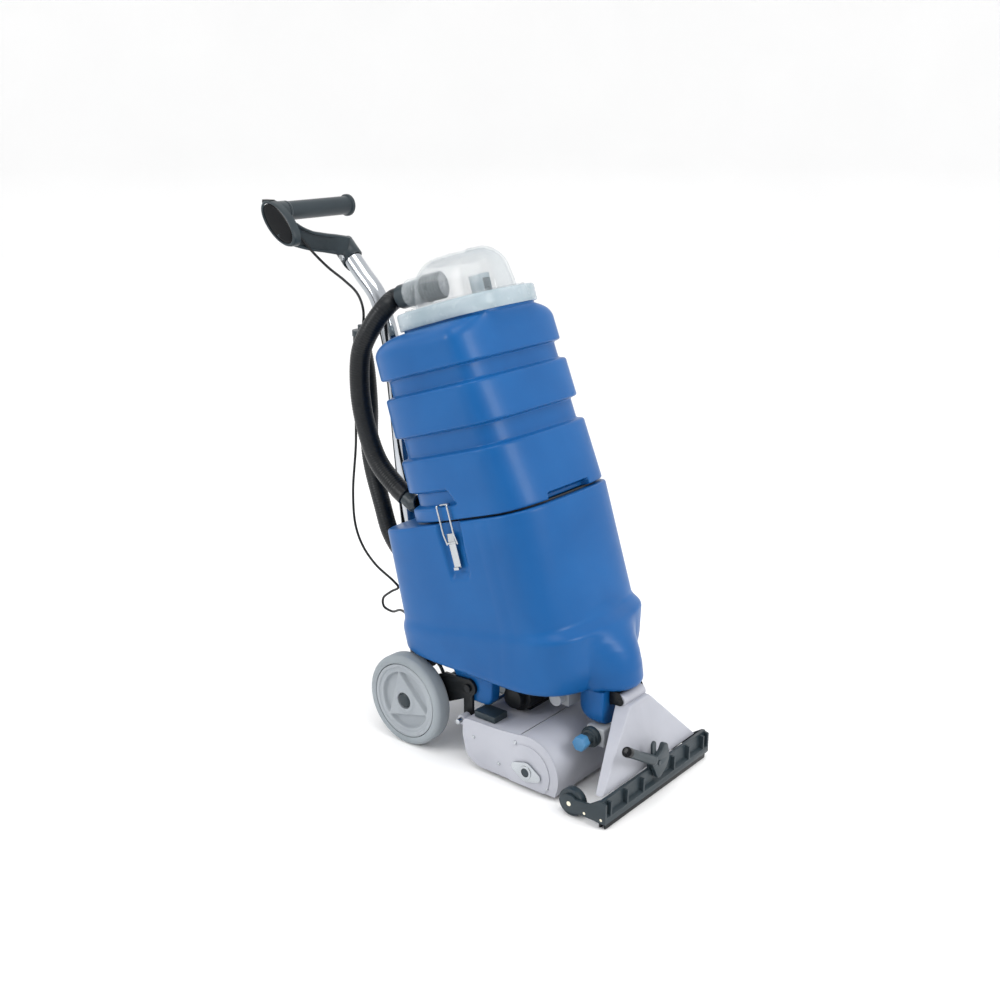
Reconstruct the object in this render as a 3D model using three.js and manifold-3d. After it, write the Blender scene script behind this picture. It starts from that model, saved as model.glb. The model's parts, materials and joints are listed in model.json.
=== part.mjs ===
// Walk-behind carpet extractor: two stacked tanks leaning back over a brush deck,
// with a vacuum shoe at the front and a bent push handle behind.
// Millimetres and degrees. +X is forward, +Y is the machine's left, +Z is up.
import * as THREE from 'three';
import { mergeVertices } from 'three/addons/utils/BufferGeometryUtils.js';
import Module from 'manifold-3d';

const wasm = await Module();
wasm.setup();

// ---------- driving dimensions ----------
const MACHINE_SHIFT = 223.6;      // puts the origin under the middle of the machine
const GAP = 0.3;                  // clearance between touching pieces

const LEAN = THREE.MathUtils.degToRad(17.84);
const TANK_ORIGIN = { x: -77.8, z: 505.4 };   // on the seam between the two tanks
const HALF_WIDTH = 146;
const RING_STEPS = 44;
const WALL = 16;

const RECOVERY = { front: 80, rear: 225, taper: 0.12 };
const BANDS = [[-6, 111], [149, 226], [256, 315]];
const GROOVE_DEPTH = 12;
const NECK = { centre: -54, front: 108, rear: 108, half: 103, sharpFront: 3, sharpRear: 3.4 };
const NECK_TOP = 343;

const SOLUTION = { front: 88, rear: 292, half: 147, sharpFront: 3, sharpRear: 6 };
const SOLUTION_TOP = -10;
const BASE = { centre: -40, front: 132, rear: 266, half: 146, sharpFront: 2.6, sharpRear: 6 };
const BASE_Z = 182;
const CREASE = { z: 281.5, slope: 0.187 };
const LEG = { x: 101, z: 130, lean: 0.09, knee: 192, slope: 0.52, radius: 57, bottom: 122, top: 300 };
const SHOE_SLOT = { back: 118, half: 62, top: 188 };

const AXLE = { x: -270, z: 90 };
const WHEEL = { radius: 90, width: 37, outer: 158, tyre: 17 };
const BRACKET = { y0: 111, y1: 117, boltX: -142, boltZ: 142 };
const LUG = { y0: 84, y1: 110, bottom: 114, back: -186, front: -90 };

const TUBE_RADIUS = 17.5;
const HOSE_RADIUS = 19;
const GRIP = { x: -628, z: 977, radius: 18, y0: -80, y1: 90 };
const SLEEVE = { x: -545, z: 903, radius: 21.5 };
const CABLE_RADIUS = 2.5;

const BRUSH = { x: 22, z: 40, radius: 39, half: 133 };
const DECK = { half: 146, back: -131, bottom: 9, top: 100, cover: 68, wall: 3 };
const DECK_PIVOT = { x: -140, z: 86 };
const MOTOR = { x: -62, z: 134, radius: 30 };
const PULLEY = { y: 126, width: 12, motor: 13, brush: 26 };

const SHOE_PIVOT = { x: 139, z: 171 };
const SHOE = { topX: 159, topZ: 172, footX: 187, footZ: 50, topDepth: 32, footDepth: 15, topHalf: 26, footHalf: 150 };
const SQUEEGEE = { x: 192, half: 168, top: 54, low: 12 };
const END_ROLLER = { x: 130, z: 25.5, radius: 25.5, width: 14 };
const LEVER_PIVOT = { y: -7, z: 64 };
const VALVE = { x: 104, z: 109 };

const LATCH = { u: -92, pivot: -34, pin: -46, free: -92, bar: 23, y: 147 };

const BLUE = { color: 0x2f66b5, roughness: 0.38, metalness: 0 };
const CLEAR = { color: 0xe6ecee, roughness: 0.12, metalness: 0, transparent: true, opacity: 0.35 };
const MILKY = { color: 0xd3d9dd, roughness: 0.35, metalness: 0 };
const RUBBER = { color: 0x17191b, roughness: 0.55, metalness: 0 };
const BLACK = { color: 0x1d1f21, roughness: 0.45, metalness: 0.1 };
const CHARCOAL = { color: 0x3d4447, roughness: 0.5, metalness: 0 };
const GREY = { color: 0xb4b7ba, roughness: 0.5, metalness: 0 };
const MID_GREY = { color: 0x8b9195, roughness: 0.55, metalness: 0 };
const CHROME = { color: 0xd9dcdf, roughness: 0.08, metalness: 1 };
const STEEL = { color: 0xbfc2c4, roughness: 0.3, metalness: 1 };
const CREAM = { color: 0xe8e2cf, roughness: 0.5, metalness: 0 };

// ---------- solids ----------
const at = (x, y, z) => new THREE.Vector3(x, y, z);

function toSolid(geometry) {
  const bare = geometry.clone();
  bare.deleteAttribute('normal');
  bare.deleteAttribute('uv');
  const merged = mergeVertices(bare, 1e-4);
  return new wasm.Manifold(new wasm.Mesh({
    numProp: 3,
    vertProperties: new Float32Array(merged.attributes.position.array),
    triVerts: new Uint32Array(merged.index.array),
  }));
}

function toGeometry(solid) {
  const mesh = solid.getMesh();
  const geometry = new THREE.BufferGeometry();
  geometry.setAttribute('position', new THREE.BufferAttribute(mesh.vertProperties, 3));
  geometry.setIndex(new THREE.BufferAttribute(mesh.triVerts, 1));
  geometry.computeVertexNormals();
  return geometry;
}

const join = (...parts) => toGeometry(parts.map(toSolid).reduce((a, b) => a.add(b)));

const cut = (body, ...tools) => toGeometry(tools.map(toSolid).reduce((a, b) => a.subtract(b), toSolid(body)));

// Egg-shaped plan outline: a superellipse whose front and rear halves differ.
function outline({ front, rear, half, sharpFront = 3, sharpRear = 4, centre = 0 }, inset = 0) {
  const points = [];
  for (let i = 0; i < RING_STEPS; i += 1) {
    const angle = (2 * Math.PI * (i + 0.5)) / RING_STEPS;
    const c = Math.cos(angle);
    const s = Math.sin(angle);
    const reach = (c > 0 ? front : rear) - inset;
    const sharp = c > 0 ? sharpFront : sharpRear;
    points.push({
      u: centre + reach * Math.sign(c) * Math.abs(c) ** (2 / sharp),
      v: (half - inset) * Math.sign(s) * Math.abs(s) ** (2 / sharp),
    });
  }
  return points;
}

const level = (plan, inset, w) => outline(plan, inset).map(({ u, v }) => at(u, v, w));

// Closed skin through a stack of rings, capped with a fan at each end.
function loft(rings) {
  const count = rings[0].length;
  const positions = [];
  const indices = [];
  rings.forEach((ring) => ring.forEach((p) => positions.push(p.x, p.y, p.z)));
  const centre = (ring) => ring.reduce((sum, p) => sum.add(p), at(0, 0, 0)).divideScalar(count);
  for (let k = 0; k < rings.length - 1; k += 1) {
    for (let i = 0; i < count; i += 1) {
      const a = k * count + i;
      const b = k * count + ((i + 1) % count);
      indices.push(a, b, b + count, a, b + count, a + count);
    }
  }
  const low = rings.length * count;
  const last = (rings.length - 1) * count;
  const first = centre(rings[0]);
  const final = centre(rings[rings.length - 1]);
  positions.push(first.x, first.y, first.z, final.x, final.y, final.z);
  for (let i = 0; i < count; i += 1) {
    const next = (i + 1) % count;
    indices.push(low, next, i, low + 1, last + i, last + next);
  }
  const geometry = new THREE.BufferGeometry();
  geometry.setAttribute('position', new THREE.Float32BufferAttribute(positions, 3));
  geometry.setIndex(indices);
  geometry.computeVertexNormals();
  return geometry;
}

const box = (x0, x1, y0, y1, z0, z1) => new THREE.BoxGeometry(x1 - x0, y1 - y0, z1 - z0)
  .translate((x0 + x1) / 2, (y0 + y1) / 2, (z0 + z1) / 2);

// Side-view outline (x, z) extruded across the machine from y0 to y1.
function plate(shape, y0, y1, curveSegments = 8) {
  return new THREE.ExtrudeGeometry(shape, { depth: y1 - y0, bevelEnabled: false, curveSegments })
    .rotateX(Math.PI / 2)
    .translate(0, y1, 0);
}

// Front-view outline (y, z) extruded forward from x0 to x1.
function panel(shape, x0, x1, curveSegments = 8) {
  return new THREE.ExtrudeGeometry(shape, { depth: x1 - x0, bevelEnabled: false, curveSegments })
    .rotateX(Math.PI / 2)
    .rotateZ(Math.PI / 2)
    .translate(x0, 0, 0);
}

function polygon(points) {
  const shape = new THREE.Shape();
  points.forEach(([x, y], i) => (i === 0 ? shape.moveTo(x, y) : shape.lineTo(x, y)));
  shape.closePath();
  return shape;
}

const disc = (radius) => new THREE.Shape().absarc(0, 0, radius, 0, 2 * Math.PI);

// Cylinder or ring about an axis through (x, z) across the machine.
function roller(x, z, radius, y0, y1, steps = 24) {
  return new THREE.CylinderGeometry(radius, radius, y1 - y0, steps).translate(x, (y0 + y1) / 2, z);
}

function turned(profile, x, z, steps = 28) {
  const points = profile.map(([radius, y]) => new THREE.Vector2(radius, y));
  return new THREE.LatheGeometry(points, steps).translate(x, 0, z);
}

// Round bar, tube or hose along a smooth or straight-sided path.
function run(points, radius, { steps = 24, sides = 10, straight = false } = {}) {
  const path = straight ? new THREE.CurvePath() : new THREE.CatmullRomCurve3(points, false, 'centripetal');
  if (straight) {
    points.slice(1).forEach((p, i) => path.add(new THREE.LineCurve3(points[i], p)));
  }
  return new THREE.ExtrudeGeometry(disc(radius), {
    steps, extrudePath: path, bevelEnabled: false, curveSegments: sides / 2,
  });
}

// Wire with sharp bends: one mitred ring at each corner.
function wire(points, radius, sides = 8) {
  const rings = points.map((p, k) => {
    const before = points[Math.max(k - 1, 0)];
    const after = points[Math.min(k + 1, points.length - 1)];
    const into = p.clone().sub(before).normalize();
    const out = after.clone().sub(p).normalize();
    const along = into.clone().add(out).normalize();
    const across = at(1, 0.13, 0.07).cross(along).normalize();
    const upward = along.clone().cross(across);
    const ring = [];
    for (let i = 0; i < sides; i += 1) {
      const angle = (2 * Math.PI * i) / sides;
      ring.push(p.clone().addScaledVector(across, radius * Math.cos(angle))
        .addScaledVector(upward, radius * Math.sin(angle)));
    }
    return ring;
  });
  return loft(rings);
}

function rod(a, b, radius, sides = 12) {
  return run([a, b], radius, { steps: 1, sides, straight: true });
}

// ---------- scene graph ----------
const machine = new THREE.Group();
machine.position.x = MACHINE_SHIFT;

const tankFrame = new THREE.Group();
tankFrame.position.set(TANK_ORIGIN.x, 0, TANK_ORIGIN.z);
tankFrame.rotation.y = -LEAN;
machine.add(tankFrame);

function add(name, geometry, look, parent = machine) {
  const mesh = new THREE.Mesh(geometry, new THREE.MeshStandardMaterial(look));
  mesh.name = name;
  parent.add(mesh);
}

// A point given in the leaning tank frame, in machine coordinates.
const tankPoint = (u, v, w) => at(
  TANK_ORIGIN.x + u * Math.cos(LEAN) - w * Math.sin(LEAN),
  v,
  TANK_ORIGIN.z + u * Math.sin(LEAN) + w * Math.cos(LEAN),
);

const SIDES = [['right', -1], ['left', 1]];
const span = (side, a, b) => (side > 0 ? [a, b] : [-b, -a]);

// ---------- upper (recovery) tank ----------
const recoveryPlan = (w) => ({ front: RECOVERY.front - RECOVERY.taper * w, rear: RECOVERY.rear, half: HALF_WIDTH });

function bandRings() {
  const rings = [];
  BANDS.forEach(([low, high], i) => {
    rings.push(level(recoveryPlan(low), i === 0 ? 4 : GROOVE_DEPTH, low));
    rings.push(level(recoveryPlan(low), 0, low + 4));
    rings.push(level(recoveryPlan(high), 0, high - 4));
    if (i < BANDS.length - 1) {
      rings.push(level(recoveryPlan(high), GROOVE_DEPTH, high));
    }
  });
  return rings;
}

function upperTank() {
  const shoulder = { ...recoveryPlan(315) };
  const outer = loft([
    ...bandRings(),
    level(shoulder, 7, 318),
    level(NECK, -9, 327),
    level(NECK, 0, 331),
    level(NECK, 0, NECK_TOP),
  ]);
  const inner = loft([
    level(recoveryPlan(0), WALL, 4),
    level(recoveryPlan(300), WALL, 296),
    level(NECK, 30, 318),
    level(NECK, 6, 334),
    level(NECK, 6, NECK_TOP + 5),
  ]);
  const scoop = box(55, 120, -54, 54, -20, 3);
  const recesses = SIDES.map(([, side]) => box(-245, -62, ...span(side, 134, 160), 19, 48));
  recesses.push(box(-245, -213.5, -160, 160, 19, 48));
  const hosePocket = box(-260, -214, -106, -58, -20, 66);
  const drain = box(-170, -60, -20, 20, -20, 5);
  return cut(outer, inner, scoop, hosePocket, drain, ...recesses);
}
add('upper_tank', upperTank(), BLUE, tankFrame);

const gasketPlan = { front: 70, rear: 205, half: 132 };
add('tank_gasket', cut(
  loft([level(gasketPlan, 0, SOLUTION_TOP + GAP), level(gasketPlan, 0, -6 - GAP)]),
  loft([level(gasketPlan, 6, SOLUTION_TOP - 2), level(gasketPlan, 6, -2)]),
), RUBBER, tankFrame);

// ---------- lower (solution) tank ----------
const wallPoint = ({ u, v }, w) => tankPoint(u, v, w);

function creasePoint({ u, v }, drop) {
  const sin = Math.sin(LEAN);
  const cos = Math.cos(LEAN);
  const target = CREASE.z - drop + CREASE.slope * (TANK_ORIGIN.x + u * cos);
  return tankPoint(u, v, (target - TANK_ORIGIN.z - u * sin) / (cos + CREASE.slope * sin));
}

const basePoints = (inset, z) => outline(BASE, inset).map(({ u, v }) => at(u, v, z));

// Front leg: upright at its foot, then leaning back into the tank's front wall.
function legRings() {
  const circle = (z, inset) => {
    const ring = [];
    for (let i = 0; i < RING_STEPS; i += 1) {
      const angle = (2 * Math.PI * i) / RING_STEPS;
      const radius = LEG.radius - inset;
      const x = LEG.x - (z - LEG.z) * LEG.lean - Math.max(z - LEG.knee, 0) * LEG.slope;
      ring.push(at(x + radius * Math.cos(angle), radius * Math.sin(angle), z));
    }
    return ring;
  };
  return [circle(LEG.bottom, 16), circle(LEG.bottom + 5, 5), circle(LEG.bottom + 16, 0),
    circle(LEG.knee, 0), circle(LEG.knee + 14, 0), circle(LEG.top - 8, 2), circle(LEG.top, 12)];
}

function lug(side) {
  const shape = new THREE.Shape();
  shape.moveTo(LUG.back - 24, BASE_Z + 14);
  shape.lineTo(LUG.back + 16, LUG.bottom + 26);
  shape.quadraticCurveTo(LUG.back + 34, LUG.bottom, LUG.back + 62, LUG.bottom);
  shape.quadraticCurveTo(LUG.front, LUG.bottom, LUG.front, LUG.bottom + 26);
  shape.lineTo(LUG.front, BASE_Z + 14);
  shape.closePath();
  return plate(shape, ...span(side, LUG.y0, LUG.y1), 5);
}

function lowerTank() {
  const creased = { ...SOLUTION, rear: SOLUTION.rear + 14 };
  const bulged = { ...creased, front: SOLUTION.front + 8, half: SOLUTION.half + 1.5 };
  const shell = loft([
    basePoints(14, BASE_Z),
    basePoints(4, BASE_Z + 4),
    basePoints(0, BASE_Z + 15),
    outline(bulged).map((p) => creasePoint(p, 11)),
    outline(creased).map((p) => creasePoint(p, 0)),
    outline(SOLUTION).map((p) => wallPoint(p, SOLUTION_TOP - 5)),
    outline(SOLUTION, 5).map((p) => wallPoint(p, SOLUTION_TOP)),
  ]);
  const cavity = loft([
    basePoints(WALL + 8, BASE_Z + 8),
    basePoints(WALL, BASE_Z + 18),
    outline(SOLUTION, WALL).map((p) => creasePoint(p, 0)),
    outline(SOLUTION, WALL).map((p) => wallPoint(p, SOLUTION_TOP - 14)),
  ]);
  const mouthPlan = { front: 56, rear: 176, half: 118 };
  const mouth = loft([
    outline(mouthPlan).map((p) => wallPoint(p, SOLUTION_TOP - 30)),
    outline(mouthPlan).map((p) => wallPoint(p, SOLUTION_TOP + 10)),
  ]);
  const troughs = SIDES.map(([, side]) => box(-118, -66, ...span(side, 137, 160), -112, 10)
    .rotateY(-LEAN).translate(TANK_ORIGIN.x, 0, TANK_ORIGIN.z));
  const slot = box(SHOE_SLOT.back, 200, -SHOE_SLOT.half, SHOE_SLOT.half, 100, SHOE_SLOT.top);
  const drainHole = rod(drainPort.root.clone().addScaledVector(drainAxis, 3), drainPort.root.clone().addScaledVector(drainAxis, -24), 12, 12);
  const lugs = SIDES.map(([, side]) => lug(side));
  return cut(join(shell, loft(legRings()), ...lugs), cavity, mouth, slot, drainHole, ...troughs);
}

// Drain stub: stands square to the leaning rear wall.
const drainAxis = at(-0.973, 0, -0.232);
const drainPort = { root: at(-338.2, -40, 345) };
drainPort.mouth = drainPort.root.clone().addScaledVector(drainAxis, 26);
add('lower_tank', lowerTank(), BLUE);

// ---------- lid ----------
const COLLAR = { ...NECK, front: 114, rear: 114, half: 109 };
const COLLAR_LOW = 337;
const COLLAR_TOP = 368;
const DOME_TOP = 450;

// Dome plan: wider at the rear, where the inlet enters.
function domeRing(w, inset) {
  const corners = [[47, -40], [47, 40], [-128, 64], [-128, -64]];
  const middle = [-40, 0];
  const radius = 16;
  const ring = [];
  const order = [0, 1, 2, 3];
  const heading = [-90, 0, 90, 180];
  order.forEach((k) => {
    const [u, v] = corners[k];
    const cu = u - Math.sign(u - middle[0]) * (radius + inset);
    const cv = v - Math.sign(v) * (radius + inset * 0.7);
    for (let i = 0; i <= 6; i += 1) {
      const angle = THREE.MathUtils.degToRad(heading[k] + i * 15);
      ring.push(at(cu + radius * Math.cos(angle), cv + radius * Math.sin(angle), w));
    }
  });
  return ring;
}

function dome() {
  const shell = (offset, low) => loft([
    domeRing(low, offset),
    domeRing(COLLAR_TOP + 8, offset + 1),
    domeRing(DOME_TOP - 26, 10 + offset),
    domeRing(DOME_TOP - 9 - offset * 0.5, 16 + offset),
    domeRing(DOME_TOP - offset, 28 + offset),
  ]);
  const flange = loft([level(NECK, 8, COLLAR_TOP + GAP), level(NECK, 8, COLLAR_TOP + 3)]);
  const spigot = rod(at(-150, INLET.v, INLET.w), at(-100, INLET.v, INLET.w), INLET.radius, 20);
  const bore = rod(at(-160, INLET.v, INLET.w), at(-96, INLET.v, INLET.w), INLET.bore, 20);
  return cut(join(shell(0, COLLAR_TOP + GAP), flange, spigot), shell(3, COLLAR_TOP - 4), bore);
}
const INLET = { v: -33, w: 402, radius: 27, bore: 23.5 };
add('lid_dome', dome(), CLEAR, tankFrame);

add('lid_collar', cut(
  loft([level(COLLAR, 0, COLLAR_LOW), level(COLLAR, 0, COLLAR_TOP - 3), level(COLLAR, 3, COLLAR_TOP)]),
  loft([level(COLLAR, 5, COLLAR_LOW - 5), level(COLLAR, 5, NECK_TOP + GAP)]),
  loft([level(NECK, 14, NECK_TOP - 5), level(NECK, 14, COLLAR_TOP + 5)]),
), MILKY, tankFrame);

// Hose cuff pushed through the inlet, ending in a downward elbow inside the dome.
add('inlet_elbow', cut(
  join(
    rod(at(-176, INLET.v, INLET.w), at(-126, INLET.v, INLET.w), 22.5, 20),
    rod(at(-130, INLET.v, INLET.w), at(-70, INLET.v, INLET.w), 14.5, 20),
    new THREE.SphereGeometry(14.5, 20, 12).translate(-70, INLET.v, INLET.w),
    rod(at(-70, INLET.v, INLET.w), at(-70, INLET.v, 372), 14.5, 20),
  ),
  rod(at(-180, INLET.v, INLET.w), at(-70, INLET.v, INLET.w), 11.5, 16),
  rod(at(-70, INLET.v, INLET.w + 6), at(-70, INLET.v, 360), 11.5, 16),
), CHARCOAL, tankFrame);

// ---------- air path inside the recovery tank ----------
const STANDPIPE = { u: -30, radius: 19, top: 405 };
add('standpipe', cut(
  join(
    rod(at(STANDPIPE.u, 22, 8), at(STANDPIPE.u, 22, STANDPIPE.top), STANDPIPE.radius, 20),
    rod(at(STANDPIPE.u, 22, 4.6), at(STANDPIPE.u, 22, 12), 30, 20),
  ),
  rod(at(STANDPIPE.u, 22, -2), at(STANDPIPE.u, 22, 380), 15.5, 16),
  box(STANDPIPE.u - 30, STANDPIPE.u + 30, 12, 32, 330, 396),
), MILKY, tankFrame);
add('float_ball', new THREE.SphereGeometry(13.5, 16, 10).translate(STANDPIPE.u, 22, 345), CREAM, tankFrame);

// ---------- hoses and their ports ----------
const inletEnd = tankPoint(-176 - GAP, INLET.v, INLET.w);
const inletLead = tankPoint(-196, INLET.v, INLET.w);
const portA = { root: tankPoint(-214 - GAP, -82, 24), bend: tankPoint(-228, -82, 24), axis: at(-0.868, 0, 0.497) };
portA.mouth = portA.bend.clone().addScaledVector(portA.axis, 22);
add('recovery_port', cut(
  join(
    rod(portA.root, portA.bend, 16, 16),
    new THREE.SphereGeometry(16, 16, 10).translate(portA.bend.x, portA.bend.y, portA.bend.z),
    rod(portA.bend, portA.mouth, 16, 16),
  ),
  rod(portA.root.clone().add(at(3, 0, 1)), portA.bend, 12, 12),
  rod(portA.bend, portA.mouth.clone().addScaledVector(portA.axis, 3), 12, 12),
), CHARCOAL);

const recoveryHose = [
  inletEnd, inletLead, at(-387, -58, 816), at(-408, -76, 778), at(-430, -82, 733), at(-437, -82, 657),
  at(-423, -82, 585), at(-392, -82, 522),
  portA.mouth.clone().addScaledVector(portA.axis, 24),
  portA.mouth.clone().addScaledVector(portA.axis, GAP),
];
add('recovery_hose', run(recoveryHose, HOSE_RADIUS, { steps: 30, sides: 12 }), RUBBER);

add('drain_port', cut(
  rod(drainPort.mouth, drainPort.root, 16, 16),
  rod(drainPort.mouth.clone().addScaledVector(drainAxis, 3), drainPort.root.clone().addScaledVector(drainAxis, -3), 12, 12),
), CHARCOAL);

const drainHose = [
  drainPort.mouth.clone().addScaledVector(drainAxis, GAP),
  drainPort.mouth.clone().addScaledVector(drainAxis, 14),
  at(-407, -40, 366), at(-437, -33, 424), at(-466, -24, 480), at(-478, -20, 520), at(-478, -20, 560),
  at(-475, -21, 603), at(-479, -22, 680), at(-489, -21, 726), at(-489, -21, 745),
];
add('drain_hose', run(drainHose, 17.5, { steps: 24, sides: 12 }), RUBBER);
const drainTop = drainHose[drainHose.length - 1];
add('drain_plug', join(
  rod(drainTop.clone().add(at(0, 0, 0.8)), drainTop.clone().add(at(0, 0, 12)), 19, 18),
  rod(drainTop.clone().add(at(0, 0, 11)), drainTop.clone().add(at(0, 0, 22)), 8, 12),
), CHARCOAL);

// ---------- push handle ----------
const tubeTop = at(SLEEVE.x, 0, SLEEVE.z);
const tubePath = [
  tubeTop, at(-504, 0, 862), at(-466, 0, 824), at(-446, 0, 778), at(-432, 0, 733), at(-420, 0, 640),
  at(-410, 0, 533), at(-394, 0, 380), at(-377, 0, 220), at(-364, 0, 112),
];
add('handle_tube', run(tubePath, TUBE_RADIUS, { steps: 30, sides: 16 }), CHROME);

const tubeAxis = at(-1, 0, 1).normalize();
const sleeveLow = tubeTop.clone().addScaledVector(tubeAxis, -22);
const sleeveTop = tubeTop.clone().addScaledVector(tubeAxis, 18);

// The switch cable leaves the arm's head through a short sleeve.
const CABLE_START = at(-595.7, -91.3, 943);
const ROCKER = { x: -638, y0: -116, y1: -103, z: 993, long: 22 };

// Arm sections: centre, half thickness across it and half height.
const ARM = [
  [at(-536, -6, 909), 13, 20],
  [at(-566, -34, 919), 11, 17],
  [at(-594, -66, 924), 11, 18],
  [at(-620, -94, 941), 11, 25],
  [at(-634, -107, 962), 10, 30],
  [at(-640, -110, 972), 9, 28],
];

function armRings() {
  return ARM.map(([centre, thick, tall], k) => {
    const before = ARM[Math.max(k - 1, 0)][0];
    const after = ARM[Math.min(k + 1, ARM.length - 1)][0];
    const along = after.clone().sub(before).normalize();
    const across = at(0, 0, 1).cross(along).normalize();
    const upward = along.clone().cross(across).normalize();
    const ring = [];
    for (let i = 0; i < 16; i += 1) {
      const angle = (2 * Math.PI * i) / 16;
      const c = Math.cos(angle);
      const s = Math.sin(angle);
      ring.push(centre.clone()
        .addScaledVector(across, thick * Math.sign(c) * Math.abs(c) ** 0.6)
        .addScaledVector(upward, tall * Math.sign(s) * Math.abs(s) ** 0.6));
    }
    return ring;
  });
}

function armEnd() {
  const shape = new THREE.Shape();
  shape.absellipse(-638, 968, 25, 30, 0, 2 * Math.PI, false, THREE.MathUtils.degToRad(-8));
  return plate(shape, -119, -100, 12);
}

add('handle_arm', cut(
  join(
    loft(armRings()),
    armEnd(),
    roller(GRIP.x, GRIP.z, 19.5, -101, GRIP.y0 - GAP, 20),
    rod(sleeveLow, sleeveTop, SLEEVE.radius, 20),
    rod(at(-611, -99, 949), CABLE_START.clone().add(at(-1.6, -0.9, 0.7)), 4.5, 12),
  ),
  rod(sleeveLow.clone().addScaledVector(tubeAxis, -5), tubeTop.clone().addScaledVector(tubeAxis, 2), TUBE_RADIUS + GAP, 18),
  box(ROCKER.x - 13, ROCKER.x + 13, ROCKER.y0 - 1, ROCKER.y1 + 1, ROCKER.z - 4, ROCKER.z + 20),
), CHARCOAL);

const gripProfile = [
  [0, GRIP.y0], [19.5, GRIP.y0], [19.5, GRIP.y0 + 5], [GRIP.radius, GRIP.y0 + 7],
  [GRIP.radius, GRIP.y1 - 10], [21.5, GRIP.y1 - 8], [21.5, GRIP.y1 - 2], [19, GRIP.y1], [0, GRIP.y1],
];
add('grip', turned(gripProfile, GRIP.x, GRIP.z, 20), CHARCOAL);

const boltSeat = tubeTop.clone().addScaledVector(tubeAxis, -16);
add('handle_bolt', rod(
  at(boltSeat.x, -SLEEVE.radius - GAP, boltSeat.z),
  at(boltSeat.x, -SLEEVE.radius - 5, boltSeat.z), 6, 12,
), STEEL);

add('switch_rocker', box(
  ROCKER.x - ROCKER.long / 2, ROCKER.x + ROCKER.long / 2, ROCKER.y0, ROCKER.y1, ROCKER.z, ROCKER.z + 7,
), BLACK);

const cablePath = [
  CABLE_START, at(-586.8, -80.8, 931), at(-577.5, -70.5, 914), at(-568, -60, 897), at(-548, -46, 873),
  at(-514, -38, 851), at(-480, -38, 829), at(-462, -42, 800),
  at(-464, -46, 750), at(-472, -48, 690), at(-488, -44, 620), at(-499, -38, 530), at(-516, -34, 425),
  at(-512, -34, 358), at(-493, -34, 318), at(-458, -34, 286), at(-412, -32, 262), at(-402, -28, 250),
  at(-428, -22, 232), at(-456, -18, 208), at(-456, -16, 190), at(-436, -14, 184), at(-400, -26, 200),
  at(-360, -44, 206), at(-329, -48, 204),
];
add('switch_cable', run(cablePath, CABLE_RADIUS, { steps: 80, sides: 8 }), RUBBER);
add('cable_gland', rod(at(-328.4, -48, 204), at(-307.4, -48, 204), 6, 12), BLACK);

// ---------- rear chassis ----------
function bracketShape() {
  const shape = new THREE.Shape();
  shape.moveTo(-382, 80);
  shape.lineTo(-262, 64);
  shape.lineTo(BRACKET.boltX + 6, BRACKET.boltZ - 16.5);
  shape.absarc(BRACKET.boltX, BRACKET.boltZ, 17, -1.2, 1.9);
  shape.lineTo(-200, 156);
  shape.lineTo(-262, 122);
  shape.lineTo(-382, 112);
  shape.closePath();
  return shape;
}

function strap(side) {
  const y = side * 114;
  return run([at(-205, y, 150), at(-214, y, 165), at(-232, y, 173), at(-246, y, 166), at(-250, y, 122)], 3.2,
    { steps: 12, sides: 8 });
}

function chassis() {
  const tubeSocket = rod(at(-366.4, 0, 132), at(-361, 0, 84), 26, 18);
  const socketBore = rod(at(-367.8, 0, 145), at(-363.8, 0, 109), TUBE_RADIUS + 1, 18);
  const bar = box(-380, -350, -116, 116, 82, 110);
  const bolts = SIDES.map(([, side]) => roller(BRACKET.boltX, BRACKET.boltZ, 8, ...span(side, 110.5, 122), 12));
  const plates = SIDES.map(([, side]) => plate(bracketShape(), ...span(side, BRACKET.y0, BRACKET.y1)));
  const straps = SIDES.map(([, side]) => strap(side));
  const ears = SIDES.map(([, side]) => box(-153, DECK.back - 1, ...span(side, BRACKET.y0, BRACKET.y1), 77, 134));
  const axleBore = roller(AXLE.x, AXLE.z, 7.4, -130, 130, 16);
  const pivotBore = roller(DECK_PIVOT.x, DECK_PIVOT.z, 5.4, -130, 130, 16);
  const frame = join(...plates, bar, tubeSocket, ...bolts, ...straps, ...ears);
  return cut(frame, socketBore, axleBore, pivotBore);
}
add('chassis', chassis(), BLACK);

add('axle', turned([
  [0, -158], [11, -157], [15, -154], [15, -151.7], [7, -151.7], [7, 151.7], [15, 151.7], [15, 154], [11, 157], [0, 158],
], AXLE.x, AXLE.z, 20), CHARCOAL);

// ---------- rear wheels ----------
function tyreProfile(inner, outer) {
  const rim = WHEEL.radius - WHEEL.tyre;
  return [
    [rim, inner + 1], [WHEEL.radius - 6, inner], [WHEEL.radius - 1, inner + 5], [WHEEL.radius, inner + 10],
    [WHEEL.radius, outer - 10], [WHEEL.radius - 1, outer - 5], [WHEEL.radius - 6, outer], [rim, outer - 1],
    [rim, inner + 1],
  ];
}

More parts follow.
